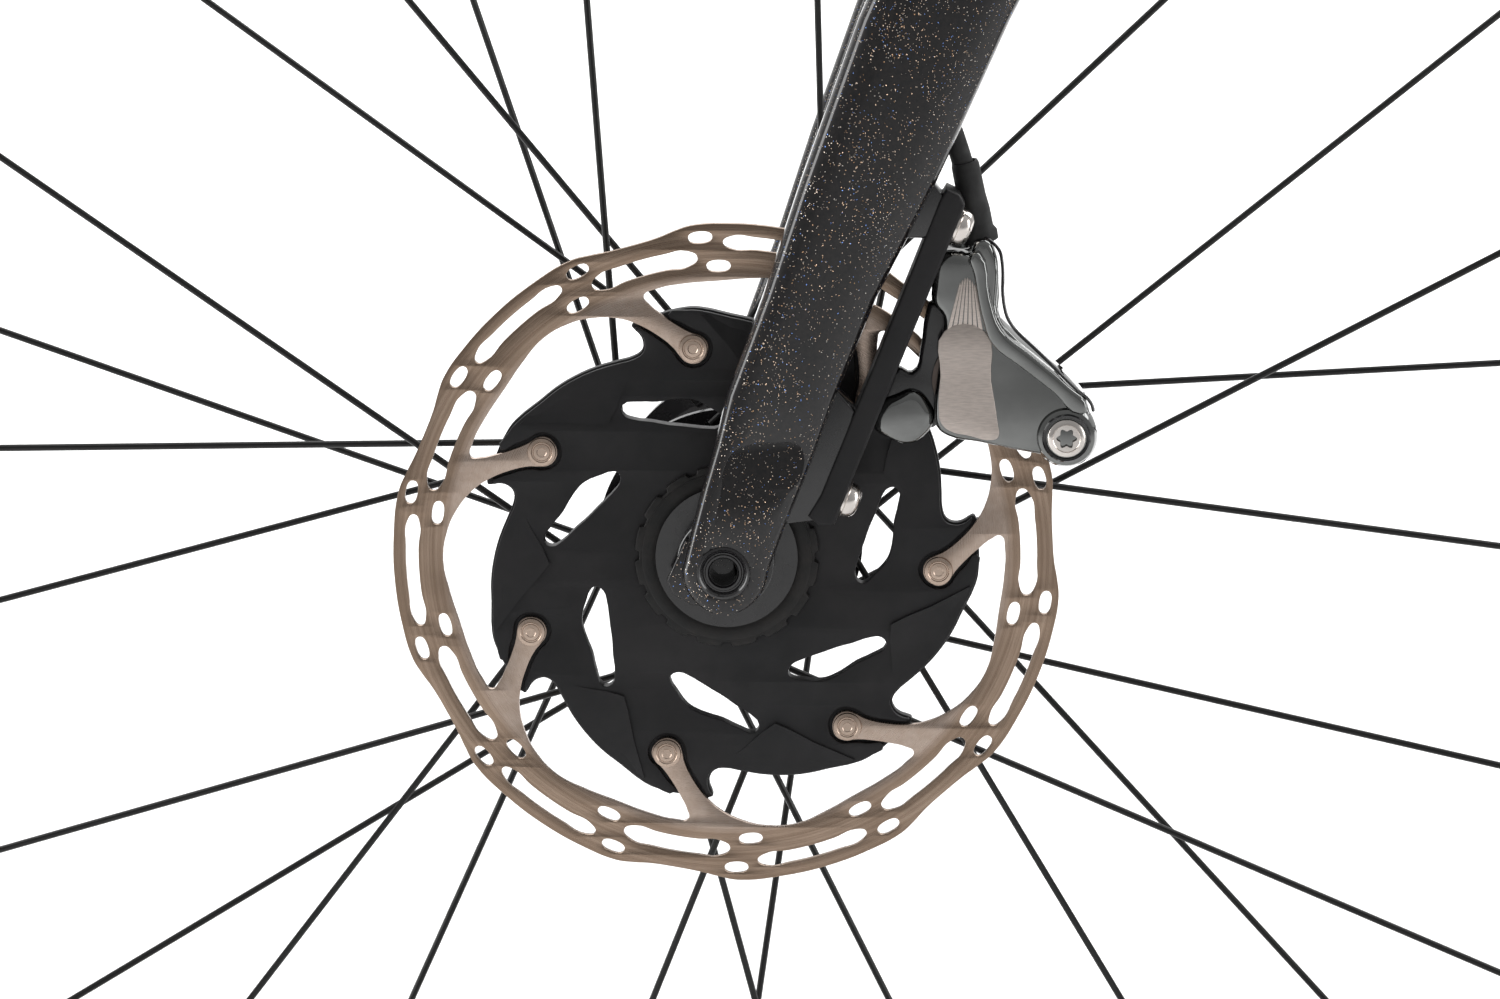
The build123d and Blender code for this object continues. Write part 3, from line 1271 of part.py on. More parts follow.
# ---------------------------------------------------------------- drivetrain
def pitch_radius(teeth):
    return CHAIN_PITCH / (2 * math.sin(math.pi / teeth))


def sprocket_face(teeth, turn=0.0):
    """Toothed disc: a round blank less one roller seat per tooth gap."""
    r = pitch_radius(teeth)
    seats = []
    for k in range(teeth):
        a = math.radians(turn + k * 360.0 / teeth)
        seats.append(Pos(r * math.cos(a), r * math.sin(a)) * Circle(ROLLER_R))
    return Circle(r + 2.2) - seats


GUIDE = (REAR_X + 16.0, WHEEL_R - 76.0)
TENSION = (REAR_X + 42.0, WHEEL_R - 146.0)
PIN_R = 1.8
PULLEY_BOLT_R = 2.8


def chain_loop():
    """Wheels in the chain's order: centre, pitch radius, and +1 where it turns clockwise from the right."""
    return [
        ((BB_X, BB_Z), pitch_radius(BIG_RING_T), 1),
        (TENSION, pitch_radius(PULLEY_T), 1),
        (GUIDE, pitch_radius(PULLEY_T), -1),
        ((REAR_X, WHEEL_R), pitch_radius(COGS[COG_IN_USE]), 1),
    ]


def tangent(first, second, grow):
    """Leaving and meeting points of the straight run between two wheels, in (forward, up)."""
    (x1, z1), r1, s1 = first
    (x2, z2), r2, s2 = second
    r1, r2 = s1 * (r1 + s1 * grow), s2 * (r2 + s2 * grow)
    dx, dz = x2 - x1, z2 - z1
    d = math.hypot(dx, dz)
    a = math.atan2(dz, dx) + math.acos((r1 - r2) / d)
    n = (math.cos(a), math.sin(a))
    return (x1 + r1 * n[0], z1 + r1 * n[1]), (x2 + r2 * n[0], z2 + r2 * n[1])


def chain_face(grow):
    """Closed loop of the chain's path, moved outwards by grow."""
    loop = chain_loop()
    runs = [tangent(loop[k], loop[(k + 1) % 4], grow) for k in range(4)]
    edges = []
    for k in range(4):
        leave, meet = runs[k]
        edges.append(Line(leave, meet))
        centre, radius, sense = loop[(k + 1) % 4]
        r = radius + sense * grow
        nxt = runs[(k + 1) % 4][0]
        a = math.atan2(meet[1] - centre[1], meet[0] - centre[0])
        b = math.atan2(nxt[1] - centre[1], nxt[0] - centre[0])
        sweep_angle = (a - b) % (2 * math.pi) if sense > 0 else -((b - a) % (2 * math.pi))
        m = a - sweep_angle / 2
        edges.append(ThreePointArc(meet, (centre[0] + r * math.cos(m), centre[1] + r * math.sin(m)), nxt))
    return make_face(edges), runs


def chain():
    """Two side bands along the loop, held by pins where no tooth passes."""
    outer, _ = chain_face(CHAIN_PLATE_H / 2)
    inner, _ = chain_face(-CHAIN_PLATE_H / 2)
    _, runs = chain_face(0.0)
    band = outer - inner
    low, high = CHAIN_INNER_GAP / 2, CHAIN_INNER_GAP / 2 + CHAIN_PLATE_T
    body = slab(band, 0, 0, CHAIN_Y + low, CHAIN_Y + high) + slab(band, 0, 0, CHAIN_Y - high, CHAIN_Y - low)
    loop = chain_loop()
    for k in range(4):
        start, end = runs[k]
        length = math.hypot(end[0] - start[0], end[1] - start[1])
        near = tooth_clear(loop[k][1])
        far = tooth_clear(loop[(k + 1) % 4][1])
        count = int((length - near - far) / (2 * CHAIN_PITCH)) + 1
        spare = length - near - far - (count - 1) * 2 * CHAIN_PITCH
        for n in range(count):
            t = (near + spare / 2 + n * 2 * CHAIN_PITCH) / length
            x, z = start[0] + (end[0] - start[0]) * t, start[1] + (end[1] - start[1]) * t
            body = body + across(x, z, CHAIN_Y - high, CHAIN_Y + high, PIN_R)
    return body


def tooth_clear(radius):
    """Distance past a tangent point at which a pin clears the turning tooth tips."""
    return math.sqrt((radius + 2.2) ** 2 - (radius - PIN_R - 0.5) ** 2)


def cassette():
    """All cogs on their driver body."""
    body = across(0, 0, COG_FIRST_Y - 1.6, COG_FIRST_Y + 11 * COG_PITCH + 2.2, 15.6)
    for k, teeth in enumerate(COGS):
        y = COG_FIRST_Y + k * COG_PITCH
        face = sprocket_face(teeth)
        if teeth > 19:
            face = face - windows(pitch_radius(COGS[k - 1]) - 10.0, 21.0, 6)
        body = body + slab(face, 0, 0, y - COG_T / 2, y + COG_T / 2)
        if k:
            body = body + across(0, 0, y - COG_PITCH, y, 17.6 if k < 3 else 20.0)
    body = body - across(0, 0, -90, 0, HUB_AXLE_R + RUN_GAP)
    return Pos(REAR_X, 0, WHEEL_R) * body


def windows(outer, inner, count):
    """Ring of openings between two radii, with spokes left between them."""
    ring = Circle(outer) - Circle(inner)
    for k in range(count):
        ring = ring - Rot(0, 0, k * 360.0 / count) * Rectangle(2.2 * outer, 5.0)
    return ring


SPIDER_R = 55.0
SPIDER_ARMS = 4
SPIDER_TURN = 38.0
RING_BOLT_R = 4.6
BIG_RING_HALF_T = 1.0


def ring_face(teeth, inner):
    face = sprocket_face(teeth, 3.75) - Circle(inner)
    for k in range(SPIDER_ARMS):
        turn = SPIDER_TURN + k * 90.0
        tab = Rot(0, 0, turn) * Pos((SPIDER_R + inner + 2) / 2, 0) * Rectangle(inner + 2 - SPIDER_R, 17.0)
        face = face + (tab & Circle(inner + 3)) + Rot(0, 0, turn) * Pos(SPIDER_R, 0) * Circle(8.5)
        face = face - Rot(0, 0, turn) * Pos(SPIDER_R, 0) * Circle(RING_BOLT_R + FIT_GAP)
    return face


def chainrings():
    """Two rings, and the four bolts that hold them to the spider."""
    small_y = CHAIN_Y + RING_SPACING
    low, high = CHAIN_Y - BIG_RING_HALF_T, CHAIN_Y + BIG_RING_HALF_T
    big = slab(ring_face(BIG_RING_T, 86.0), BB_X, BB_Z, low, high)
    small = slab(ring_face(SMALL_RING_T, 61.0), BB_X, BB_Z, small_y - 0.9, small_y + 0.9)
    solids = [big, small]
    for k in range(SPIDER_ARMS):
        a = math.radians(SPIDER_TURN + k * 90.0)
        x, z = BB_X + SPIDER_R * math.cos(a), BB_Z + SPIDER_R * math.sin(a)
        shank = across(x, z, low, small_y + 0.9, RING_BOLT_R)
        head = across(x, z, low - 2.0, low, 6.5)
        nut = across(x, z, small_y + 0.9, small_y + 2.2, 6.0)
        solids.append(shank + head + nut)
    return gather(*solids)


def crank_arm():
    """Left-side arm pointing forwards; rows are (out along the arm, inner face, height, thickness)."""
    rows = [
        (-17.0, 49.0, 26.0, 13.0),
        (0.0, 49.0, 38.0, 15.0),
        (40.0, 52.5, 32.0, 14.0),
        (95.0, 57.0, 28.0, 13.0),
        (CRANK_L, CRANK_FACE_Y - CRANK_ARM_T, 29.0, CRANK_ARM_T),
        (CRANK_L + 14.0, 59.0, 20.0, 11.5),
    ]
    faces = []
    for out, inner, tall, thick in rows:
        plane = Plane(origin=(out, inner + thick / 2, 0), x_dir=(0, 1, 0), z_dir=(1, 0, 0))
        faces.append(plane * RectangleRounded(thick, tall, 0.4 * thick))
    arm = loft(faces)
    boss = across(0, 0, BB_HALF_W + CUP_FLANGE_W + RUN_GAP, 64.0, 18.0)
    axle = across(CRANK_L, 0, CRANK_FACE_Y - 4, CRANK_FACE_Y + PEDAL_W, PEDAL_AXLE_R)
    collar = across(CRANK_L, 0, CRANK_FACE_Y - 3, CRANK_FACE_Y + 2.0, 9.0)
    return arm + boss + axle + collar


def crankset():
    """Both arms, the spindle through the bracket and the ring spider."""
    arm = crank_arm()
    left = Pos(BB_X, 0, BB_Z) * Rot(0, 0, 180) * mirrored(arm)
    right = Pos(BB_X, 0, BB_Z) * mirrored(arm)
    spindle = across(BB_X, BB_Z, -60, 60, SPINDLE_R, SPINDLE_R - 2.5)
    small_y = CHAIN_Y + RING_SPACING
    star = Circle(30.0)
    for k in range(SPIDER_ARMS):
        a = SPIDER_TURN + k * 90.0
        star = star + Rot(0, 0, a) * Pos(SPIDER_R / 2, 0) * Rectangle(SPIDER_R, 15.0)
        star = star + Rot(0, 0, a) * Pos(SPIDER_R, 0) * Circle(8.0)
    for k in range(SPIDER_ARMS):
        star = star - Rot(0, 0, SPIDER_TURN + k * 90.0) * Pos(SPIDER_R, 0) * Circle(RING_BOLT_R + FIT_GAP)
    spider = slab(star, BB_X, BB_Z, CHAIN_Y + BIG_RING_HALF_T, small_y - 0.9)
    neck = across(BB_X, BB_Z, -60.0, CHAIN_Y + 2.0, 28.0)
    body = left + right + spider + neck
    body = body - across(BB_X, BB_Z, -59, 59, SPINDLE_R)
    return body + spindle


def pedal():
    """Two-sided pedal body on the crank's pedal axle, drawn at the origin with its axle along Y."""
    low, high = CRANK_FACE_Y + 2.0 + RUN_GAP, CRANK_FACE_Y + PEDAL_W + 2.0
    core = across(0, 0, low, high, 10.0)
    body = core
    for y in (low + 7.0, high - 12.0):
        body = body + slab(RectangleRounded(86.0, 17.0, 7.0), 0, 0, y, y + 5.0)
    for ahead in (-36.0, -20.0, 20.0, 36.0):
        body = body + slab(Pos(ahead, 0) * RectangleRounded(6.0, 19.0, 2.5), 0, 0, low + 7.0, high - 7.0)
    return body - across(0, 0, low - 1, CRANK_FACE_Y + PEDAL_W + RUN_GAP, PEDAL_AXLE_R + RUN_GAP)


def pulley():
    """Toothed jockey wheel drawn at the origin."""
    face = sprocket_face(PULLEY_T) - Circle(PULLEY_BOLT_R + RUN_GAP)
    for k in range(6):
        face = face - Rot(0, 0, k * 60.0) * Pos(12.5, 0) * Circle(3.2)
    disc = slab(face, 0, 0, CHAIN_Y - 1.0, CHAIN_Y + 1.0)
    hub_part = across(0, 0, CHAIN_Y - 3.4, CHAIN_Y + 3.4, 7.0, PULLEY_BOLT_R + RUN_GAP)
    return disc + hub_part


CAGE_IN = 3.9
CAGE_T = 1.8


def rear_derailleur_cage():
    """Two cage plates with the pulley bolts between them."""
    gx, gz = GUIDE
    tx, tz = TENSION
    dx, dz = tx - gx, tz - gz
    length = math.hypot(dx, dz)
    bar = Pos(dx / 2, dz / 2) * Rot(0, 0, math.degrees(math.atan2(dz, dx))) * Rectangle(length, 15.0)
    face = Circle(15.0) + Pos(dx, dz) * Circle(12.0) + bar
    inner = slab(face, gx, gz, CHAIN_Y + CAGE_IN, CHAIN_Y + CAGE_IN + CAGE_T)
    outer = slab(face, gx, gz, CHAIN_Y - CAGE_IN - CAGE_T, CHAIN_Y - CAGE_IN)
    body = inner + outer
    low, high = CHAIN_Y - CAGE_IN - CAGE_T, CHAIN_Y + CAGE_IN + CAGE_T + 1.2
    for x, z in (GUIDE, TENSION):
        body = body + across(x, z, low, high, PULLEY_BOLT_R)
    return body


def rear_derailleur_body():
    """Knuckle at the hanger, link block and knuckle at the cage, with the battery behind."""
    bx, bz = HANGER_BOLT
    gx, gz = GUIDE
    face_y = -REAR_DROP_IN - REAR_DROPOUT_T
    knuckle = across(bx, bz, face_y - 13.0, face_y, 13.0)
    bolt = across(bx, bz, face_y - 1, -REAR_DROP_IN, 5.0)
    cage_y = CHAIN_Y - CAGE_IN - CAGE_T
    swing = across(gx - 2, gz + 4, cage_y - 20.0, cage_y, 14.0)
    link = tube_loft([
        (Vector(bx + 3, face_y - 7.5, bz - 11), Vector(0.3, 0.35, -1), 24.0, 11.0),
        (Vector(gx - 4, cage_y - 12.0, gz + 8), Vector(0.3, 0.35, -1), 26.0, 14.0),
    ])
    battery = Pos(bx - 24, face_y - 7.0, bz - 12) * Rot(0, 20, 0) * Box(26, 13, 36)
    return knuckle + bolt + swing + link + battery


def front_derailleur():
    """Cage round the chain above the big ring, on a body fixed to the seat tube."""
    r = pitch_radius(BIG_RING_T) + 2.2 + 1.5
    low_in, high_in = CHAIN_Y + 3.9, CHAIN_Y + 5.2
    low_out, high_out = CHAIN_Y - 5.2, CHAIN_Y - 3.9
    plate = outline([
        (18, r + 4), (24, r + 15), (-20, r + 21), (-84, r + 6), (-80, r - 12), (-58, r - 10), (-20, r + 1),
    ])
    plates = slab(plate, BB_X, BB_Z, low_in, high_in) + slab(plate, BB_X, BB_Z, low_out, high_out)
    tail_face = outline([(-84, r + 6), (-83, r + 3), (-74, r + 3), (-74, r + 9)])
    roof_face = outline([(10, r + 14), (10, r + 18), (-24, r + 21), (-24, r + 17)])
    tail = slab(tail_face, BB_X, BB_Z, low_out, high_in)
    roof = slab(roof_face, BB_X, BB_Z, low_out, high_in)
    body = Pos(BB_X - 36, -33, BB_Z + r + 38) * Rot(0, -16, 0) * Box(34, 26, 36)
    post = Pos(BB_X - 34, -42, BB_Z + r + 20) * Box(22, 10, 16)
    tab_z = BB_Z + r + 40
    tab = Pos(BB_X + (tab_z - BB_Z) * SEAT_DIR.X / SEAT_DIR.Z, -20, tab_z) * Rot(0, -16, 0) * Box(18, 16, 26)
    head, down, top, seat = main_tubes()
    return plates + tail + roof + body + post + (tab - tube_loft(seat))


# ---------------------------------------------------------------- writing the pieces
def save_wheels():
    front_seat = drilled_rim(FRONT_FLANGE, FRONT_SPOKE_TURN, FRONT_VALVE)
    rear_seat = drilled_rim(REAR_FLANGE, REAR_SPOKE_TURN, REAR_VALVE)
    front, rear = Pos(FRONT_X, 0, WHEEL_R), Pos(REAR_X, 0, WHEEL_R)
    save("front_rim", front * front_seat)
    save("rear_rim", rear * rear_seat)
    save("front_tyre", front * tyre())
    save("rear_tyre", rear * tyre())
    save("front_spokes", front * gather(lacing(FRONT_FLANGE, FRONT_SPOKE_TURN), valve(FRONT_VALVE)))
    save("rear_spokes", rear * gather(lacing(REAR_FLANGE, REAR_SPOKE_TURN), valve(REAR_VALVE)))
    save("front_hub", front * hub(FRONT_FLANGE, FRONT_SPOKE_TURN, FRONT_ROTOR_Y, FRONT_HUB_END))
    save("rear_hub", rear * hub(REAR_FLANGE, REAR_SPOKE_TURN, REAR_ROTOR_Y, REAR_HUB_END))
    save("front_rotor", rotor(FRONT_ROTOR_TURN, FRONT_X, FRONT_ROTOR_Y))
    save("rear_rotor", rotor(REAR_ROTOR_TURN, REAR_X, REAR_ROTOR_Y))
    save("front_rotor_carrier", carrier(FRONT_ROTOR_TURN, FRONT_X, FRONT_ROTOR_Y))
    save("front_lockring", lockring(FRONT_X, FRONT_ROTOR_Y))
    rear_plate = carrier(REAR_ROTOR_TURN, REAR_X, REAR_ROTOR_Y)
    save("rear_rotor_carrier", gather(rear_plate, lockring(REAR_X, REAR_ROTOR_Y)))


def valve(turn):
    """Valve stem through the rim, pointing at the hub."""
    inner, outer = polar(RIM_IN_R - VALVE_L + 22.0, turn), polar(BEAD_SEAT_R - 2.5, turn)
    return rod((inner[0], 0, inner[1]), (outer[0], 0, outer[1]), VALVE_R)


def drilled_rim(flange, first_turn, valve_turn):
    """Rim with its nipple seats and valve hole."""
    body = rim()
    holes = []
    for k in range(SPOKES):
        hub_end, seat = spoke_ends(k, first_turn, **flange)
        along = (seat - hub_end).normalized()
        holes.append(rod(seat - along * (NIPPLE_L + 4), seat + along * 4, NIPPLE_R + 0.02))
    body = body - holes
    inner, outer = polar(RIM_IN_R - 5.0, valve_turn), polar(RIM_OUT_R, valve_turn)
    return body - rod((inner[0], 0, inner[1]), (outer[0], 0, outer[1]), VALVE_R + 0.02)


def main():
    save_wheels()
    save("frame", frame())
    save("derailleur_hanger", derailleur_hanger())
    save("headset_bearings", headset_bearings())
    save("seatpost_collar", seatpost_collar())
    save("bottle_bosses", bottle_bosses())
    save("bottom_bracket_cups", bottom_bracket_cups())
    save("front_derailleur", front_derailleur())
    save("rear_derailleur_body", rear_derailleur_body())
    save("rear_derailleur_cage", rear_derailleur_cage())
    rear_mouth = swept(rear_hose_points(), HOSE_BENDS, HOSE_R + FIT_GAP)
    save("rear_caliper", rear_brake(caliper_body() + drilled_plate()) - rear_mouth)
    save("rear_caliper_fittings", rear_brake(caliper_fittings()))
    rear_axle = thru_axle(REAR_X, REAR_DROP_IN, 10.0, 8.0, REAR_ROTOR_Y + 3.0, -COG_FIRST_Y + 1.6)
    save("rear_axle", rear_axle)
    save("chain", chain())
    save("rear_hose", swept(rear_hose_points(), HOSE_BENDS, HOSE_R))
    save("seatpost", seatpost())
    rails, shell, cover = saddle_pieces()
    save("saddle_clamp", saddle_clamp())
    save("saddle_rails", rails)
    save("saddle_shell", shell)
    save("saddle_cover", cover)
    save("fork", fork())
    save("caliper_plate", front_brake(drilled_plate()))
    save("front_caliper", front_brake(caliper_body()))
    save("front_caliper_fittings", front_brake(caliper_fittings()))
    save("front_hose", front_brake(swept(front_hose_points(), HOSE_BENDS, HOSE_R)))
    front_axle = thru_axle(FRONT_X, FRONT_DROP_IN, 12.0, 13.0, FRONT_ROTOR_Y + 3.0, FRONT_HUB_END)
    save("front_axle", front_axle)
    save("steerer_spacers", steerer_spacers())
    save("stem", stem())
    save("stem_faceplate", stem_faceplate())
    save("stem_fasteners", stem_fasteners())
    save("handlebar", handlebar())
    save("bar_tape", bar_tape())
    hood = lever_hood()
    save("lever_hoods", both(hood))
    lever, paddle = brake_lever(), shift_paddle()
    save("brake_lever_left", lever)
    save("brake_lever_right", mirrored(lever))
    save("shift_paddle_left", paddle)
    save("shift_paddle_right", mirrored(paddle))
    save("front_pad_left", front_brake(pad(1)))
    save("front_pad_right", front_brake(pad(-1)))
    save("rear_pad_left", rear_brake(pad(1)))
    save("rear_pad_right", rear_brake(pad(-1)))
    save("cassette", cassette())
    save("crankset", crankset())
    save("chainrings", chainrings())
    body = pedal()
    save("pedal_right", Pos(BB_X + CRANK_L, 0, BB_Z) * mirrored(body))
    save("pedal_left", Pos(BB_X - CRANK_L, 0, BB_Z) * body)
    save("guide_pulley", Pos(GUIDE[0], 0, GUIDE[1]) * pulley())
    save("tension_pulley", Pos(TENSION[0], 0, TENSION[1]) * Rot(0, 15, 0) * pulley())


main()
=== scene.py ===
import math

import bmesh
import bpy
from mathutils import Matrix, Vector


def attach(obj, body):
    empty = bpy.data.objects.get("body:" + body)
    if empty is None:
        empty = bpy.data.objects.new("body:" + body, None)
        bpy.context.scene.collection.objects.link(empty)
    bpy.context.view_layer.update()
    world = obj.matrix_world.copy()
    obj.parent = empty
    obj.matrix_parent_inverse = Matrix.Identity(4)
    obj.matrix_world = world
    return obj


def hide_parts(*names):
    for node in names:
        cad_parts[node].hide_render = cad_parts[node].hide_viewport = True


bl_info = {
    "name": "Road bicycle",
    "version": (1, 0, 0),
    "blender": (4, 5, 0),
    "location": "3D View > Sidebar > Bicycle",
    "description": "Builds the looks of a road bicycle with disc brakes round its CAD frame",
    "category": "Object",
}

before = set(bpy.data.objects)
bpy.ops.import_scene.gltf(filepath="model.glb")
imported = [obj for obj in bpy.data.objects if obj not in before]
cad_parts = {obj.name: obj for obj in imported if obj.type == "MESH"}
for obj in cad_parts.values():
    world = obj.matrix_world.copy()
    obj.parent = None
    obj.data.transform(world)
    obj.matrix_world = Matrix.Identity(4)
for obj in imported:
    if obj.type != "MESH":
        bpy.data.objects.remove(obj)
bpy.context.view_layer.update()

# ------------------------------------------------------------------ places, in millimetres
MM = 0.001
WHEEL_R = 339.0
FRONT_X, REAR_X = 492.965, -492.965
FRONT_ROTOR_Y, REAR_ROTOR_Y = 40.0, 55.5
REAR_CALIPER_TURN = 121.3
ROTOR_ARMS = 7
ROTOR_STEP = 360.0 / ROTOR_ARMS
SPOKES = 28
HEAD_LOW = Vector((338.1, 0.0, 680.5))
STEER_DIR = Vector((-0.300706, 0.0, 0.953717))
STEER_FWD = Vector((0.953717, 0.0, 0.300706))
BAR_MID = Vector((381.08, 0.0, 874.95))
RAIL_POINT = Vector((-286.4, 0.0, 935.4))
CHAIN_Y = -47.75
CHAIN_PITCH = 12.7
BB = (-88.985, 269.0)

# Side frame: first number back from the axle, second up, third out to the rider's left.
SIDE = Matrix(((-1, 0, 0, 0), (0, 0, 1, 0), (0, 1, 0, 0), (0, 0, 0, 1)))


def side_place(x, y, z, tilt=0.0):
    """Takes millimetres in a side frame centred on x, y, z to metres in the row frame."""
    turn = Matrix.Rotation(math.radians(tilt), 4, "Y")
    return Matrix.Scale(MM, 4) @ Matrix.Translation((x, y, z)) @ turn @ SIDE


ROW = Matrix.Scale(MM, 4)
FRONT_BRAKE = side_place(FRONT_X, FRONT_ROTOR_Y, WHEEL_R)
REAR_BRAKE = side_place(REAR_X, REAR_ROTOR_Y, WHEEL_R, REAR_CALIPER_TURN)
FRONT_WHEEL = side_place(FRONT_X, 0.0, WHEEL_R)
REAR_WHEEL = side_place(REAR_X, 0.0, WHEEL_R)
BRAKES = {
    "front": {"place": FRONT_BRAKE, "body": "steering", "wheel": "front_wheel", "turn": 99.1},
    "rear": {"place": REAR_BRAKE, "body": "main_frame", "wheel": "rear_wheel", "turn": 60.0},
}


def polar(radius, turn):
    a = math.radians(turn)
    return (radius * math.cos(a), radius * math.sin(a))


# ------------------------------------------------------------------ finishes
class Finish:
    """A material whose pattern reads the piece's own coordinates, in metres."""

    def __init__(self, name, colour, metallic=0.0, roughness=0.5, **sockets):
        self.material = bpy.data.materials.new(name)
        self.material.use_nodes = True
        self.tree = self.material.node_tree
        self.shader = self.tree.nodes["Principled BSDF"]
        self.coords = self.tree.nodes.new("ShaderNodeTexCoord").outputs["Object"]
        self.set(self.shader, "Base Color", (*colour, 1.0))
        self.set(self.shader, "Metallic", metallic)
        self.set(self.shader, "Roughness", roughness)
        for key, value in sockets.items():
            self.set(self.shader, key.replace("_", " "), value)

    def set(self, node, key, value):
        socket = node.inputs[key]
        if isinstance(value, bpy.types.NodeSocket):
            self.tree.links.new(value, socket)
        else:
            socket.default_value = value

    def add(self, kind, sockets, **settings):
        node = self.tree.nodes.new(kind)
        for key, value in settings.items():
            setattr(node, key, value)
        for key, value in sockets.items():
            self.set(node, key, value)
        return node

    def maths(self, operation, *values):
        return self.add("ShaderNodeMath", dict(enumerate(values)), operation=operation).outputs[0]

    def noise(self, scale, detail=3.0, vector=None, roughness=0.55):
        source = self.coords if vector is None else vector
        sockets = {"Vector": source, "Scale": scale, "Detail": detail, "Roughness": roughness}
        return self.add("ShaderNodeTexNoise", sockets).outputs["Fac"]

    def stretched(self, scale):
        return self.add("ShaderNodeMapping", {"Vector": self.coords, "Scale": scale}).outputs[0]

    def between(self, value, low, high, start=0.35, end=0.65):
        sockets = {"Value": value, "From Min": start, "From Max": end, "To Min": low, "To Max": high}
        return self.add("ShaderNodeMapRange", sockets).outputs["Result"]

    def blend(self, value, first, second):
        node = self.add("ShaderNodeMix", {}, data_type="RGBA")
        self.set(node, 0, value)
        for index, colour in ((6, first), (7, second)):
            value = colour if isinstance(colour, bpy.types.NodeSocket) else (*colour, 1.0)
            self.set(node, index, value)
        return node.outputs[2]

    def colour(self, value, first, second, start=0.35, end=0.65):
        self.set(self.shader, "Base Color", self.blend(self.between(value, 0, 1, start, end), first, second))

    def rough(self, value, low, high, start=0.35, end=0.65):
        self.set(self.shader, "Roughness", self.between(value, low, high, start, end))

    def bump(self, height, depth, strength=1.0):
        """Raises the surface by up to depth, in metres."""
        node = self.add("ShaderNodeBump", {"Height": height, "Distance": depth, "Strength": strength})
        self.set(self.shader, "Normal", node.outputs[0])

    def radius(self, x, z):
        """Distance from a wheel's axle line, in metres."""
        moved = self.add("ShaderNodeMapping", {"Vector": self.coords, "Location": (-x * MM, 0, -z * MM)})
        parts = self.add("ShaderNodeSeparateXYZ", {"Vector": moved.outputs[0]})
        squares = [self.maths("POWER", parts.outputs[k], 2.0) for k in (0, 2)]
        return self.maths("SQRT", self.maths("ADD", *squares))

    def along_radius(self, radius, scale, detail=3.0):
        sockets = {"W": radius, "Scale": scale, "Detail": detail}
        return self.add("ShaderNodeTexNoise", sockets, noise_dimensions="1D").outputs["Fac"]


def flake_paint():
    """Deep black lacquer with brown, white and blue flakes under a smooth clear coat."""
    f = Finish("flake_paint", (0.006, 0.006, 0.007), 0.0, 0.32, Specular_IOR_Level=0.12, Coat_Weight=1.0, Coat_Roughness=0.03)
    cells = f.add("ShaderNodeTexVoronoi", {"Vector": f.coords, "Scale": 4200.0})
    pick = f.add("ShaderNodeSeparateColor", {"Color": cells.outputs["Color"]})
    thin = f.noise(70.0, 2.0)
    chance = f.between(thin, 0.97, 0.90)
    shown = f.maths("GREATER_THAN", pick.outputs[0], chance)
    near = f.maths("LESS_THAN", cells.outputs["Distance"], 0.42)
    flake = f.maths("MULTIPLY", shown, near)
    warm = f.blend(pick.outputs[1], (0.55, 0.30, 0.14), (0.95, 0.90, 0.82))
    tint = f.blend(f.maths("GREATER_THAN", pick.outputs[2], 0.86), warm, (0.20, 0.38, 0.95))
    base = f.blend(f.between(f.noise(900.0), 0, 1), (0.005, 0.005, 0.006), (0.012, 0.010, 0.010))
    f.set(f.shader, "Base Color", f.blend(flake, base, tint))
    f.set(f.shader, "Metallic", flake)
    lean = f.add("ShaderNodeVectorMath", {0: cells.outputs["Color"], 1: (0.5, 0.5, 0.5)}, operation="SUBTRACT")
    lean = f.add("ShaderNodeVectorMath", {0: lean.outputs[0], 3: f.maths("MULTIPLY", flake, 1.2)}, operation="SCALE")
    face = f.add("ShaderNodeNewGeometry", {}).outputs["Normal"]
    sum_ = f.add("ShaderNodeVectorMath", {0: face, 1: lean.outputs[0]}, operation="ADD")
    unit = f.add("ShaderNodeVectorMath", {0: sum_.outputs[0]}, operation="NORMALIZE")
    f.set(f.shader, "Normal", unit.outputs[0])
    f.set(f.shader, "Roughness", f.between(f.noise(60.0), 0.28, 0.36))
    return f.material


def matte_alloy():
    f = Finish("matte_black_alloy", (0.012, 0.012, 0.013), 0.35, 0.5)
    grain = f.noise(9000.0, 2.0)
    f.colour(f.noise(35.0), (0.010, 0.010, 0.011), (0.017, 0.016, 0.017))
    f.rough(f.noise(120.0), 0.46, 0.6)
    f.bump(grain, 0.00002)
    return f.material


def gloss_black():
    f = Finish("gloss_black", (0.008, 0.008, 0.009), 0.0, 0.2, Coat_Weight=0.6, Coat_Roughness=0.06)
    f.colour(f.noise(50.0), (0.006, 0.006, 0.007), (0.012, 0.011, 0.012))
    f.rough(f.noise(150.0), 0.16, 0.3)
    f.bump(f.noise(700.0), 0.000004)
    return f.material


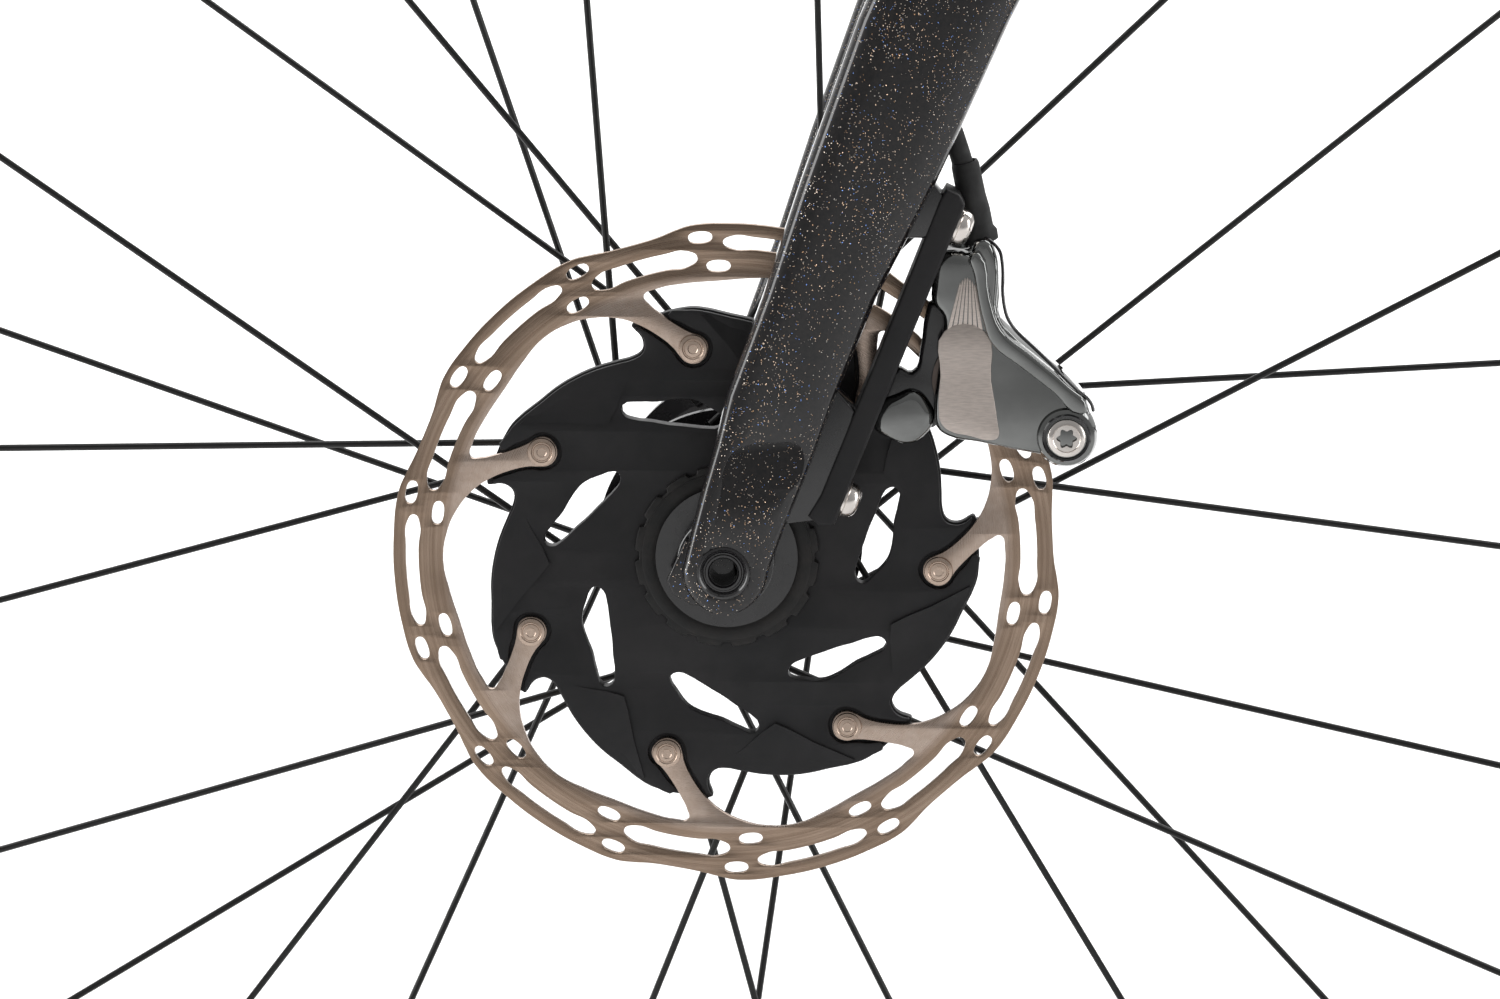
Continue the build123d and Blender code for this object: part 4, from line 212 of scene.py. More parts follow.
def bronze_steel(name, x):
    """Ground steel with a bronze tone, its grinding marks running round the axle."""
    f = Finish(name, (0.36, 0.25, 0.18), 1.0, 0.3)
    r = f.radius(x, WHEEL_R)
    marks = f.along_radius(r, 6500.0, 4.0)
    wide = f.along_radius(r, 900.0, 2.0)
    track = f.blend(f.between(wide, 0, 1), (0.29, 0.21, 0.155), (0.40, 0.30, 0.23))
    blotch = f.blend(f.between(f.noise(45.0), 0, 0.45), track, (0.22, 0.155, 0.11))
    arm = f.blend(f.between(f.noise(400.0), 0, 1), (0.43, 0.335, 0.275), tuple(bpy.context.scene.bicycle_colours.rotor_arm))
    on_arm = f.between(r, 1.0, 0.0, 0.0665, 0.0685)
    f.set(f.shader, "Base Color", f.blend(on_arm, blotch, arm))
    f.rough(marks, 0.22, 0.40)
    f.bump(marks, 0.000012)
    return f.material


def polished(name, colour, low, high, metallic=1.0, depth=0.000003):
    f = Finish(name, colour, metallic, low)
    dark = tuple(c * 0.82 for c in colour)
    f.colour(f.noise(90.0), dark, colour)
    f.rough(f.noise(240.0, 4.0), low, high)
    f.bump(f.noise(2600.0), depth)
    return f.material


def brushed(name, colour, direction, low=0.28, high=0.42):
    """Metal with straight brush marks; direction holds the scale along each axis."""
    f = Finish(name, colour, 1.0, low)
    marks = f.noise(1.0, 3.0, f.stretched(direction))
    f.colour(marks, tuple(c * 0.8 for c in colour), colour)
    f.rough(marks, low, high)
    f.bump(marks, 0.000008)
    return f.material


def turned_black(name, x):
    """Black anodised ring with fine turning marks."""
    f = Finish(name, (0.013, 0.012, 0.012), 0.4, 0.42)
    r = f.radius(x, WHEEL_R)
    marks = f.along_radius(r, 5200.0, 2.0)
    f.colour(f.noise(200.0), (0.010, 0.010, 0.010), (0.019, 0.017, 0.016))
    f.rough(marks, 0.36, 0.52)
    f.bump(marks, 0.00002)
    return f.material


def rubber(name, colour, scale, depth):
    f = Finish(name, colour, 0.0, 0.7)
    f.colour(f.noise(60.0), colour, tuple(c * 1.7 for c in colour))
    f.rough(f.noise(300.0), 0.62, 0.82)
    f.bump(f.noise(scale, 2.0), depth)
    return f.material


def composite():
    f = Finish("black_composite", (0.018, 0.018, 0.018), 0.0, 0.42)
    f.colour(f.noise(80.0), (0.014, 0.014, 0.015), (0.025, 0.024, 0.024))
    f.rough(f.noise(160.0), 0.36, 0.5)
    f.bump(f.noise(4200.0, 2.0), 0.00002)
    return f.material


def leather():
    """Synthetic leather: fine pebbles over slow waves."""
    f = Finish("saddle_leather", (0.012, 0.012, 0.012), 0.0, 0.48)
    cells = f.add("ShaderNodeTexVoronoi", {"Vector": f.coords, "Scale": 1300.0}).outputs["Distance"]
    waves = f.noise(90.0)
    f.colour(waves, (0.010, 0.010, 0.010), (0.022, 0.021, 0.020))
    f.rough(f.noise(500.0), 0.4, 0.58)
    f.bump(f.maths("ADD", cells, waves), 0.00012)
    return f.material


def tape_cloth():
    f = Finish("grip_tape", (0.016, 0.016, 0.016), 0.0, 0.75)
    cells = f.add("ShaderNodeTexVoronoi", {"Vector": f.coords, "Scale": 900.0}).outputs["Distance"]
    f.colour(f.noise(120.0), (0.012, 0.012, 0.012), (0.030, 0.029, 0.028))
    f.rough(cells, 0.6, 0.85, 0.0, 0.6)
    f.bump(cells, 0.0002)
    return f.material


def pale_floor():
    f = Finish("pale_floor", (0.86, 0.86, 0.86), 0.0, 0.6)
    f.colour(f.noise(3.0), (0.84, 0.84, 0.84), (0.88, 0.88, 0.88))
    return f.material


FINISHES = {}


def finish_of(name):
    """The finish of that name, made once."""
    colours = bpy.context.scene.bicycle_colours
    makers = {
        "flake_paint": flake_paint,
        "matte_alloy": matte_alloy,
        "gloss_black": gloss_black,
        "front_bronze": lambda: bronze_steel("front_bronze", FRONT_X),
        "rear_bronze": lambda: bronze_steel("rear_bronze", REAR_X),
        "front_ring": lambda: turned_black("front_ring", FRONT_X),
        "rear_ring": lambda: turned_black("rear_ring", REAR_X),
        "dark_chrome": lambda: polished("dark_chrome", tuple(colours.caliper), 0.04, 0.10),
        "rivet_bronze": lambda: polished("rivet_bronze", (0.55, 0.43, 0.35), 0.2, 0.32),
        "silver": lambda: polished("silver", tuple(colours.bolt), 0.12, 0.24),
        "champagne": lambda: brushed("champagne", tuple(colours.badge), (400, 400, 3000), 0.3, 0.4),
        "steel": lambda: brushed("steel", (0.56, 0.55, 0.53), (600, 3000, 600)),
        "chain_steel": lambda: polished("chain_steel", (0.30, 0.29, 0.27), 0.25, 0.4),
        "spoke_black": lambda: polished("spoke_black", (0.018, 0.018, 0.018), 0.3, 0.42, 0.5, 0.00001),
        "hose_rubber": lambda: rubber("hose_rubber", (0.014, 0.014, 0.014), 1500.0, 0.00002),
        "tyre_rubber": lambda: rubber("tyre_rubber", (0.016, 0.016, 0.016), 700.0, 0.0001),
        "hood_rubber": lambda: rubber("hood_rubber", (0.015, 0.015, 0.015), 1800.0, 0.00008),
        "pad_compound": lambda: rubber("pad_compound", (0.09, 0.07, 0.06), 3000.0, 0.0001),
        "composite": composite,
        "leather": leather,
        "tape_cloth": tape_cloth,
        "pale_floor": pale_floor,
    }
    if name not in FINISHES:
        FINISHES[name] = makers[name]()
    return FINISHES[name]


# ------------------------------------------------------------------ making pieces
def linked(name, data):
    obj = bpy.data.objects.new(name, data)
    bpy.context.scene.collection.objects.link(obj)
    return obj


def evaluated(obj):
    """The mesh that an object shows, modifiers and curve tubes included."""
    bpy.context.view_layer.update()
    graph = bpy.context.evaluated_depsgraph_get()
    return bpy.data.meshes.new_from_object(obj.evaluated_get(graph))


def tidied(mesh, angle=35.0, merge=0.000002):
    """Merges doubles, turns faces outwards and smooths all but the edges over an angle."""
    bm = bmesh.new()
    bm.from_mesh(mesh)
    bmesh.ops.remove_doubles(bm, verts=bm.verts, dist=merge)
    bmesh.ops.recalc_face_normals(bm, faces=bm.faces)
    bm.to_mesh(mesh)
    bm.free()
    mesh.shade_smooth()
    mesh.set_sharp_from_angle(angle=math.radians(angle))
    return mesh


def show(name, mesh, body, finish, nodes=(), angle=35.0):
    """Puts a finished mesh on its body with its finish."""
    obj = linked(name, tidied(mesh, angle))
    obj.data.materials.clear()
    obj.data.materials.append(finish_of(finish))
    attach(obj, body)
    if nodes:
        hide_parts(*nodes)
    return obj


def joined(meshes):
    bm = bmesh.new()
    for mesh in meshes:
        bm.from_mesh(mesh)
    out = bpy.data.meshes.new("joined")
    bm.to_mesh(out)
    bm.free()
    return out


def placed(mesh, place):
    mesh.transform(place)
    return mesh


def rounded(points):
    return ("BEZIER", points)


def straight(points):
    return ("POLY", points)


def flat(loops, low, high, edge, place, steps=3, rim=2):
    """Plate cut from closed outlines, the first of them its outside, with rounded edges."""
    curve = bpy.data.curves.new("outline", "CURVE")
    curve.dimensions = "2D"
    curve.fill_mode = "BOTH"
    curve.resolution_u = steps
    curve.extrude = (high - low) / 2 - edge
    curve.bevel_depth = edge
    curve.bevel_resolution = rim
    curve.offset = -edge
    for kind, points in loops:
        spline = curve.splines.new(kind)
        if kind == "BEZIER":
            spline.bezier_points.add(len(points) - 1)
            for knot, (x, y) in zip(spline.bezier_points, points):
                knot.co = (x, y, 0)
                knot.handle_left_type = knot.handle_right_type = "AUTO"
        else:
            spline.points.add(len(points) - 1)
            for knot, (x, y) in zip(spline.points, points):
                knot.co = (x, y, 0, 1)
        spline.use_cyclic_u = True
    obj = linked("outline", curve)
    mesh = evaluated(obj)
    bpy.data.objects.remove(obj)
    return placed(mesh, place @ Matrix.Translation((0, 0, (low + high) / 2)))


def spun(profile, place, steps=48):
    """Solid turned about the third axis of its place, from (radius, height) points."""
    bm = bmesh.new()
    verts = [bm.verts.new((r, 0, h)) for r, h in profile]
    edges = [bm.edges.new(pair) for pair in zip(verts, verts[1:])]
    bmesh.ops.spin(
        bm, geom=verts + edges, cent=(0, 0, 0), axis=(0, 0, 1), dvec=(0, 0, 0), angle=math.tau,
        steps=steps, use_merge=True, use_normal_flip=False, use_duplicate=False,
    )
    bmesh.ops.remove_doubles(bm, verts=bm.verts, dist=0.0005)
    bmesh.ops.recalc_face_normals(bm, faces=bm.faces)
    mesh = bpy.data.meshes.new("spun")
    bm.to_mesh(mesh)
    bm.free()
    return placed(mesh, place)


def between_points(start, end):
    """Place whose third axis runs from start to end, both in millimetres of the row frame."""
    start, end = Vector(start), Vector(end)
    turn = (end - start).to_track_quat("Z", "Y").to_matrix().to_4x4()
    return ROW @ Matrix.Translation(start) @ turn


def bar(start, end, radius, sides=12, tip=0.0):
    """Round bar between two points, its ends chamfered by tip."""
    length = (Vector(end) - Vector(start)).length
    profile = [(0, 0), (radius - tip, 0), (radius, tip), (radius, length - tip), (radius - tip, length), (0, length)]
    if not tip:
        profile = [(0, 0), (radius, 0), (radius, length), (0, length)]
    return spun(profile, between_points(start, end), sides)


def skinned(rings, place=ROW, close=False):
    """Skin through rings of equally many points, closed at both ends."""
    bm = bmesh.new()
    loops = []
    for ring in rings:
        made = bmesh.ops.create_circle(bm, cap_ends=False, segments=len(ring), radius=1.0)["verts"]
        for vert, point in zip(made, ring):
            vert.co = point
        loops.append(list(dict.fromkeys(e for v in made for e in v.link_edges)))
    pairs = list(zip(loops, loops[1:])) + ([(loops[-1], loops[0])] if close else [])
    for first, second in pairs:
        bmesh.ops.bridge_loops(bm, edges=first + second)
    if not close:
        for end in (loops[0], loops[-1]):
            bmesh.ops.contextual_create(bm, geom=end)
    bmesh.ops.recalc_face_normals(bm, faces=bm.faces)
    mesh = bpy.data.meshes.new("skinned")
    bm.to_mesh(mesh)
    bm.free()
    return placed(mesh, place)


def oval(half_a, half_b, power, count):
    """Points of a rounded section; a higher power is squarer."""
    points = []
    for k in range(count):
        a = math.tau * (k + 0.5) / count
        c, s = math.cos(a), math.sin(a)
        x = half_a * math.copysign(abs(c) ** (2 / power), c)
        y = half_b * math.copysign(abs(s) ** (2 / power), s)
        points.append((x, y))
    return points


def with_modifier(mesh, kind, **settings):
    """The mesh with one modifier applied."""
    obj = linked("work", mesh)
    mod = obj.modifiers.new("work", kind)
    for key, value in settings.items():
        setattr(mod, key, value)
    made = evaluated(obj)
    bpy.data.objects.remove(obj)
    return made


def carved(mesh, other, operation="DIFFERENCE"):
    """Boolean of two closed meshes."""
    cutter = linked("cutter", tidied(other))
    made = with_modifier(tidied(mesh), "BOOLEAN", object=cutter, operation=operation, solver="EXACT")
    bpy.data.objects.remove(cutter)
    return made


def softened(mesh, width, segments=2, angle=35.0):
    """Rounds the edges over an angle."""
    mesh = with_modifier(
        tidied(mesh, angle), "BEVEL", width=width, segments=segments, limit_method="ANGLE",
        angle_limit=math.radians(angle), harden_normals=False,
    )
    return mesh


def dress(finish, *nodes):
    """Gives CAD nodes whose shape stays their finish."""
    for node in nodes:
        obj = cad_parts[node]
        obj.data.materials.clear()
        obj.data.materials.append(finish_of(finish))


# ------------------------------------------------------------------ rotors, carriers and lockrings
TRACK_EDGE = [(-33, 80), (-25, 80), (-17, 80), (-9, 80), (-3, 79.9), (0, 79.1), (3, 78.2), (8, 77.9), (12, 78.3), (15, 79.1)]
ARM_EDGE = [
    (-14, 67.2), (-8, 66.4), (0, 66.4), (5.5, 66.4), (8.4, 65.6), (7.8, 63.2), (6, 60.4), (3, 57.0), (0, 54.6),
    (-2.6, 53.3), (-4.0, 51.6), (-3.9, 49.6), (-2.4, 47.7), (0, 47.0), (2.6, 47.8), (4.1, 49.8), (5, 51.6), (8, 55.6),
    (12, 60.0), (15, 62.6), (20, 65.5), (25, 67.3), (31, 68.1),
]
RIVET_R = 50.7


def around(points, turn):
    """The same points once for each arm, from (turn, radius) points."""
    return [polar(r, turn + k * ROTOR_STEP + a) for k in range(ROTOR_ARMS) for a, r in points]


def arc_slot(turn, start, end, radius, half):
    """Slot that follows the track, with softly pointed ends."""
    reach = math.degrees(half / radius)
    across = [start + reach * 1.3 + (end - start - reach * 2.6) * k / 4 for k in range(5)]
    top = [polar(radius + half, turn + a) for a in across]
    low = [polar(radius - half, turn + a) for a in reversed(across)]
    return rounded([polar(radius, turn + start)] + top + [polar(radius, turn + end)] + low)


def oval_hole(turn, radius, half_l, half_h):
    c = Vector(polar(radius, turn))
    out = c.normalized()
    side = Vector((-out.y, out.x))
    return rounded([tuple(c + side * half_l), tuple(c + out * half_h), tuple(c - side * half_l), tuple(c - out * half_h)])


def rotor_ring(turn, place):
    loops = [rounded(around(TRACK_EDGE, turn)), rounded(around(ARM_EDGE, turn))]
    for k in range(ROTOR_ARMS):
        t = turn + k * ROTOR_STEP
        loops.append(arc_slot(t, -3.6, 17.2, 72.1, 1.95))
        loops.append(arc_slot(t, -29.2, -8.4, 75.5, 1.55))
        for offset, radius in ((18.3, 76.9), (-4.4, 76.9), (21.3, 69.9), (-7.5, 69.9)):
            loops.append(oval_hole(t + offset, radius, 2.9, 1.45))
    return flat(loops, -0.9, 0.9, 0.14, place, 5, 1)


def rivets(turn, place):
    profile = [
        (0, -4.7), (3.4, -4.7), (3.4, -4.1), (2.5, -4.0), (2.5, 0.8), (3.3, 0.9), (3.45, 1.2), (3.3, 1.75), (2.55, 1.9),
        (2.35, 1.72), (2.1, 1.72), (1.95, 1.9), (1.2, 1.95), (1.05, 1.82), (0, 1.82),
    ]
    made = []
    for k in range(ROTOR_ARMS):
        x, y = polar(RIVET_R, turn + k * ROTOR_STEP)
        made.append(spun(profile, place @ Matrix.Translation((x, y, 0)), 28))
    return joined(made)


CARRIER_EDGE = [
    (13.2, 59.8), (6.5, 60.2), (0, 60.3), (-3, 59.9), (-10, 58.0), (-15, 57.2), (-20, 56.2), (-26, 54.8), (-31.4, 53.4),
    (-35.4, 52.7), (-38.0, 53.2), (-39.2, 55.0), (-39.1, 57.0), (-38.4, 58.6),
]
FACE_EDGE = [
    (12.9, 59.2), (8.9, 55.4), (5.6, 51.0), (4.7, 48.7), (2.6, 46.6), (0, 46.0), (-2.8, 46.8), (-4.8, 49.0), (-5.0, 51.5),
    (-3.7, 53.6), (-1.2, 54.9), (1.8, 57.2), (4.4, 59.7), (0, 59.9), (-3, 59.4), (-10, 57.5), (-15, 56.7), (-20, 55.7),
    (-26, 54.3), (-31.4, 52.9), (-35.4, 52.2), (-38.4, 52.8), (-39.7, 55.0), (-39.6, 57.0), (-38.9, 58.6),
]
WINDOW = [
    (27, 42.1), (25.5, 43.9), (20, 42.4), (15, 40.6), (10, 39.8), (5, 39.0), (2, 38.2), (-3, 35.8), (-7, 33.9),
    (-7.9, 32.6), (-5, 31.0), (0, 31.1), (5, 31.9), (10, 33.1), (15, 34.6), (20, 36.9), (25, 39.6),
]
BLADE = [
    (-3.2, 58.6), (-10, 50.4), (-15, 45.3), (-19.0, 42.6), (-24.0, 44.2), (-30.0, 47.6), (-36.5, 51.6), (-31.0, 52.9),
    (-26, 53.9), (-20, 55.2), (-15, 56.2), (-10, 57.0), (-6, 58.0),
]
BLADE_RISE = [0.55, 0.8, 0.95, 1.0, 0.45, 0.2, -0.3, -0.3, -0.3, -0.3, -0.3, -0.3, -0.1]


def carrier_plate(turn, place):
    """Saw-toothed plate, its raised face with a pocket round each rotor arm, and swept facets."""
    holes = [rounded([polar(r, turn + k * ROTOR_STEP + a) for a, r in WINDOW]) for k in range(ROTOR_ARMS)]
    bore = rounded([polar(16.5, 30.0 * k) for k in range(12)])
    base = flat([rounded(around(CARRIER_EDGE[::-1], turn)), *holes, bore], -4.1, -0.95, 0.35, place, 3, 2)
    face = flat([rounded(around(FACE_EDGE[::-1], turn)), *holes, bore], -1.6, 0.35, 0.3, place, 3, 2)
    blades = []
    for k in range(ROTOR_ARMS):
        bm = bmesh.new()
        verts = [bm.verts.new((*polar(r, turn + k * ROTOR_STEP + a), 0.35)) for a, r in BLADE]
        top = bm.faces.new(verts)
        lifted = bmesh.ops.extrude_face_region(bm, geom=[top])["geom"]
        corners = [v for v in lifted if isinstance(v, bmesh.types.BMVert)]
        for vert, rise in zip(sorted(corners, key=lambda v: nearest(v, verts)), BLADE_RISE):
            vert.co.z += rise
        bmesh.ops.translate(bm, verts=verts, vec=(0, 0, -0.8))
        bmesh.ops.triangulate(bm, faces=bm.faces)
        bmesh.ops.recalc_face_normals(bm, faces=bm.faces)
        mesh = bpy.data.meshes.new("blade")
        bm.to_mesh(mesh)
        bm.free()
        blades.append(placed(mesh, place))
    return joined([base, face, *blades])


def nearest(vert, others):
    """Number of the corner that a lifted corner came from."""
    return min(range(len(others)), key=lambda k: (others[k].co.xy - vert.co.xy).length)


def ring_outline(radius, notches, depth, half):
    """Round outline with notches, as straight-sided points."""
    points = []
    step = 360.0 / notches
    for k in range(notches):
        for offset, r in ((-half, radius - depth), (half, radius - depth), (half * 1.5, radius)):
            points.append(polar(r, k * step + offset))
        for j in (1, 2, 3):
            points.append(polar(radius, k * step + half * 1.5 + (step - half * 3.0) * j / 3))
    return points


def lock_ring(place):
    """Notched ring with a stepped, dished face."""
    bore = straight([polar(13.0, 10.0 * k) for k in range(36)])
    ring = flat([straight(ring_outline(22.0, bpy.context.scene.bicycle_sizes.ring_notches, 1.0, 2.6)), bore], -0.9, 2.0, 0.35, place, 1, 2)
    dish = spun([
        (12.6, 1.0), (20.3, 1.0), (20.3, 2.35), (19.9, 2.5), (17.2, 2.5), (16.9, 2.3), (16.0, 2.3), (15.7, 2.5),
        (13.6, 2.5), (12.6, 2.2), (12.6, 1.0),
    ], place, 72)
    return joined([ring, dish])


# ------------------------------------------------------------------ brake calipers
BODY_EDGE = [
    (50.2, 74.2), (57.6, 74.4), (60.4, 71), (62.8, 63.5), (63.9, 58.2), (66.5, 54.8), (75, 47.4), (82.6, 41), (85.6, 37),
    (86.2, 33), (85.2, 29), (81.5, 26.5), (75, 27.2), (60, 30.1), (52.5, 31.6), (49.9, 33.8), (49.3, 38), (50.0, 46),
    (51.2, 56), (51.2, 60), (48.8, 63.2), (48.6, 67),
]
TOP_BLOCK = [(58.4, 77.2), (61.2, 77.8), (63.2, 75.4), (64.2, 70.5), (63.8, 63), (63.6, 59), (61.2, 60.5), (59.8, 68)]
LOBE = [(35.0, 33.4), (36.6, 39.0), (40.5, 41.2), (44.6, 42.4), (48.4, 39.0), (49.4, 35.6), (47.0, 31.2), (43.2, 29.2), (38.4, 30.6)]
INNER_FOOT = [(36.0, 38.0), (40.5, 47.2), (44.0, 46.2), (46.0, 52), (47.2, 60.2), (48.6, 63), (52.6, 60), (52.0, 46), (50.6, 34), (44, 33)]
RIDGE = [(57.7, 75.0), (59.6, 75.2), (62.3, 64.5), (65.0, 57.2), (72.0, 51.2), (80.6, 44.0), (85.2, 38.6), (83.4, 37.2),
         (77.5, 42.2), (69.5, 48.4), (62.6, 54.0), (60.9, 58.0), (58.4, 70.0)]
BADGE = [(51.6, 56.8), (61.0, 56.8), (62.6, 45), (64.2, 35), (64.4, 31.6), (63.2, 30.9), (57.5, 31.9), (53.0, 33.0), (50.9, 34.9),
         (50.3, 38), (50.7, 46)]
BRIDGE = [(79.5, 25.8), (84.4, 28.4), (86.2, 33), (85.6, 37.6), (82.5, 42), (75.6, 48.2), (66.6, 56.0), (64.6, 59.2), (64.4, 66),
          (63.4, 74), (61.0, 78), (58.6, 77.4), (57.2, 74.4), (48.6, 74.4), (50.0, 68.0), (58.2, 61.2), (68.0, 49.6), (74.6, 38.8)]
BOLT = (80.4, 31.7)


def star(centre, radius, depth, lobes=6):
    """Outline of a rounded star socket."""
    points = []
    for k in range(lobes * 4):
        r = radius - depth * (0.5 - 0.5 * math.cos(math.tau * k / 4))
        x, y = polar(r, 360.0 * k / (lobes * 4))
        points.append((centre[0] + x, centre[1] + y))
    return rounded(points)


def disc(centre, radius, count=24):
    return straight([(centre[0] + x, centre[1] + y) for x, y in (polar(radius, 360.0 * k / count) for k in range(count))])


def caliper_shell(place):
    """Polished two-part body with its bridge, lobe, ridge and top block."""
    parts = [
        flat([rounded(BODY_EDGE)], 5.3, 14.4, 1.9, place, 4, 4),
        flat([rounded(TOP_BLOCK)], -9.0, 12.6, 1.4, place, 4, 3),
        flat([rounded(LOBE)], 5.3, 12.8, 2.3, place, 4, 4),
        flat([rounded(RIDGE)], 9.0, 16.2, 0.95, place, 4, 3),
        flat([rounded(BRIDGE)], -9.0, 9.0, 0.8, place, 4, 2),
        flat([rounded(BODY_EDGE)], -14.6, -5.3, 1.9, place, 4, 4),
        flat([rounded(LOBE)], -12.8, -5.3, 2.3, place, 4, 4),
    ]
    at = place @ Matrix.Translation((*BOLT, 0))
    boss = [(0, 6), (7.3, 6), (7.3, 13.6), (6.6, 15.4), (5.6, 15.9), (0, 15.9)]
    parts.append(spun(boss, at, 48))
    return joined(parts)


def caliper_bolt(place):
    """Low domed head with a star socket."""
    at = place @ Matrix.Translation((*BOLT, 0))
    head = spun([(0, 14.6), (4.5, 14.6), (4.6, 15.6), (4.4, 16.5), (3.8, 17.0), (3.3, 17.15), (3.1, 16.9), (0, 16.9)], at, 48)
    socket = flat([star((0, 0), 2.45, 0.7)], 15.6, 18.4, 0.05, at, 3, 1)
    return carved(head, socket)


def caliper_black(place):
    """Dark seat and inner feet of the caliper."""
    at = place @ Matrix.Translation((*BOLT, 0))
    seat = spun([(0, 15.4), (5.6, 15.4), (5.75, 16.0), (5.4, 16.5), (4.9, 16.3), (4.9, 15.8), (0, 15.8)], at, 48)
    feet = flat([rounded(INNER_FOOT)], 5.4, 10.5, 1.2, place, 4, 3)
    return joined([seat, feet])


def badge_panel(place):
    """Brushed panel whose upper end breaks up into narrowing bars."""
    parts = [flat([rounded(BADGE)], 14.1, 14.75, 0.2, place, 4, 2)]
    count = 7
    for k in range(count):
        s = (k + 0.5) / count
        x0, x1 = 51.9 + 8.9 * s, 54.9 + 4.0 * s
        top = 66.5 + 3.0 * math.sin(math.pi * min(1.0, s * 0.75 + 0.15))
        wide, thin = 0.50, 0.24
        bar_ = [(x0 - wide, 56.2), (x0 + wide, 56.2), (x1 + thin, top - 0.6), (x1, top), (x1 - thin, top - 0.6)]
        parts.append(flat([straight(bar_)], 14.1, 14.7, 0.1, place, 1, 1))
    return joined(parts)


def plate_edges(place, low, high):
    """Mounting plate seen edge-on, with a rounded head and foot."""
    def back(up):
        return 29.5 + 0.4 * (up - 20.0)
    points = [
        (back(11) - 6.2, 13.0), (back(11) - 3.6, 10.8), (back(11) + 0.2, 10.9), (back(14), 14.0), (back(50), 50.0),
        (back(84), 84.0), (back(86.6), 86.8), (back(88.6) - 2.0, 89.2), (back(90) - 5.6, 90.6), (back(88) - 6.4, 88.0),
        (back(50) - 6.0, 50.0), (back(18) - 6.0, 18.0),
    ]
    return flat([straight(points)], low, high, 0.7, place, 1, 3)


def plate_bolts(place):
    """Domed bolts square to the plate's sloping face, each on a thin washer."""
    made = []
    for up in (16.5, 81.5):
        seat = Vector((29.5 + 0.4 * (up - 20.0), up, 13.0))
        normal = Vector((1.0, -0.4, 0.0)).normalized()
        turn = normal.to_track_quat("Z", "Y").to_matrix().to_4x4()
        at = place @ Matrix.Translation(seat) @ turn
        made.append(spun([
            (0, -3.0), (2.4, -3.0), (2.4, 0), (4.7, 0), (4.8, 0.5), (4.3, 0.75), (4.3, 1.6), (3.9, 2.7), (3.0, 3.5),
            (2.2, 3.75), (2.0, 3.1), (0, 3.0),
        ], at, 40))
    return joined(made)


def wire_clip(place):
    """Thin spring wire round the caliper's back edge."""
    points = [(60.5, 78.2, 9.0), (64.2, 77.0, 12.0), (65.3, 71.5, 13.5), (65.0, 64.8, 14.0), (66.6, 58.2, 14.4), (74.0, 51.6, 14.6),
              (82.5, 43.0, 14.2), (86.5, 39.5, 11.0), (86.8, 37.0, 8.0)]
    curve = bpy.data.curves.new("wire", "CURVE")
    curve.dimensions = "3D"
    curve.bevel_depth = 0.42
    curve.bevel_resolution = 3
    curve.use_fill_caps = True
    spline = curve.splines.new("NURBS")
    spline.points.add(len(points) - 1)
    for knot, point in zip(spline.points, points):
        knot.co = (*point, 1)
    spline.order_u = 3
    spline.use_endpoint_u = True
    obj = linked("wire", curve)
    mesh = evaluated(obj)
    bpy.data.objects.remove(obj)
    return placed(mesh, place)


# ------------------------------------------------------------------ hoses
HOSE = [(60.5, 74.0, 5.0), (57.5, 84.0, 5.5), (55.8, 97.0, 7.5), (49.0, 114.0, 11.0)]
REAR_HOSE = [(60.5, 74.0, 5.0), (57.5, 84.0, 5.5), (52.0, 104.0, 9.0), (40.0, 126.0, 13.0)]


def hose_curve(name, points, place, body, node):
    """Free hose from the caliper into the fork or stay."""
    route = [place @ Vector(p) for p in points]
    curve = bpy.data.curves.new(name, "CURVE")
    curve.dimensions = "3D"
    curve.bevel_depth = bpy.context.scene.bicycle_sizes.hose_d / 2
    curve.bevel_resolution = 5
    curve.use_fill_caps = True
    spline = curve.splines.new("NURBS")
    spline.points.add(len(route) - 1)
    for knot, point in zip(spline.points, route):
        knot.co = (*point, 1)
    spline.order_u = 3
    spline.use_endpoint_u = True
    spline.resolution_u = 12
    curve.materials.append(finish_of("hose_rubber"))
    obj = linked(name, curve)
    length = smooth_line([tuple(p) for p in route], 2)[1]
    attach(obj, body)
    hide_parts(node)
    return obj, length, route[0]


def hose_boot(place, points):
    """Tapered boot over the hose where it leaves the caliper, with a collar at its lower end."""
    low, high = Vector(points[0]), Vector(points[2])
    along = (high - low).normalized()
    turn = along.to_track_quat("Z", "Y").to_matrix().to_4x4()
    at = place @ Matrix.Translation(low) @ turn
    return spun([
        (2.55, 3.0), (4.3, 3.0), (4.4, 5.0), (3.7, 6.2), (3.7, 10.5), (3.4, 14.0), (3.3, 21.5), (3.05, 22.4), (2.55, 22.4),
        (2.55, 3.0),
    ], at, 32)


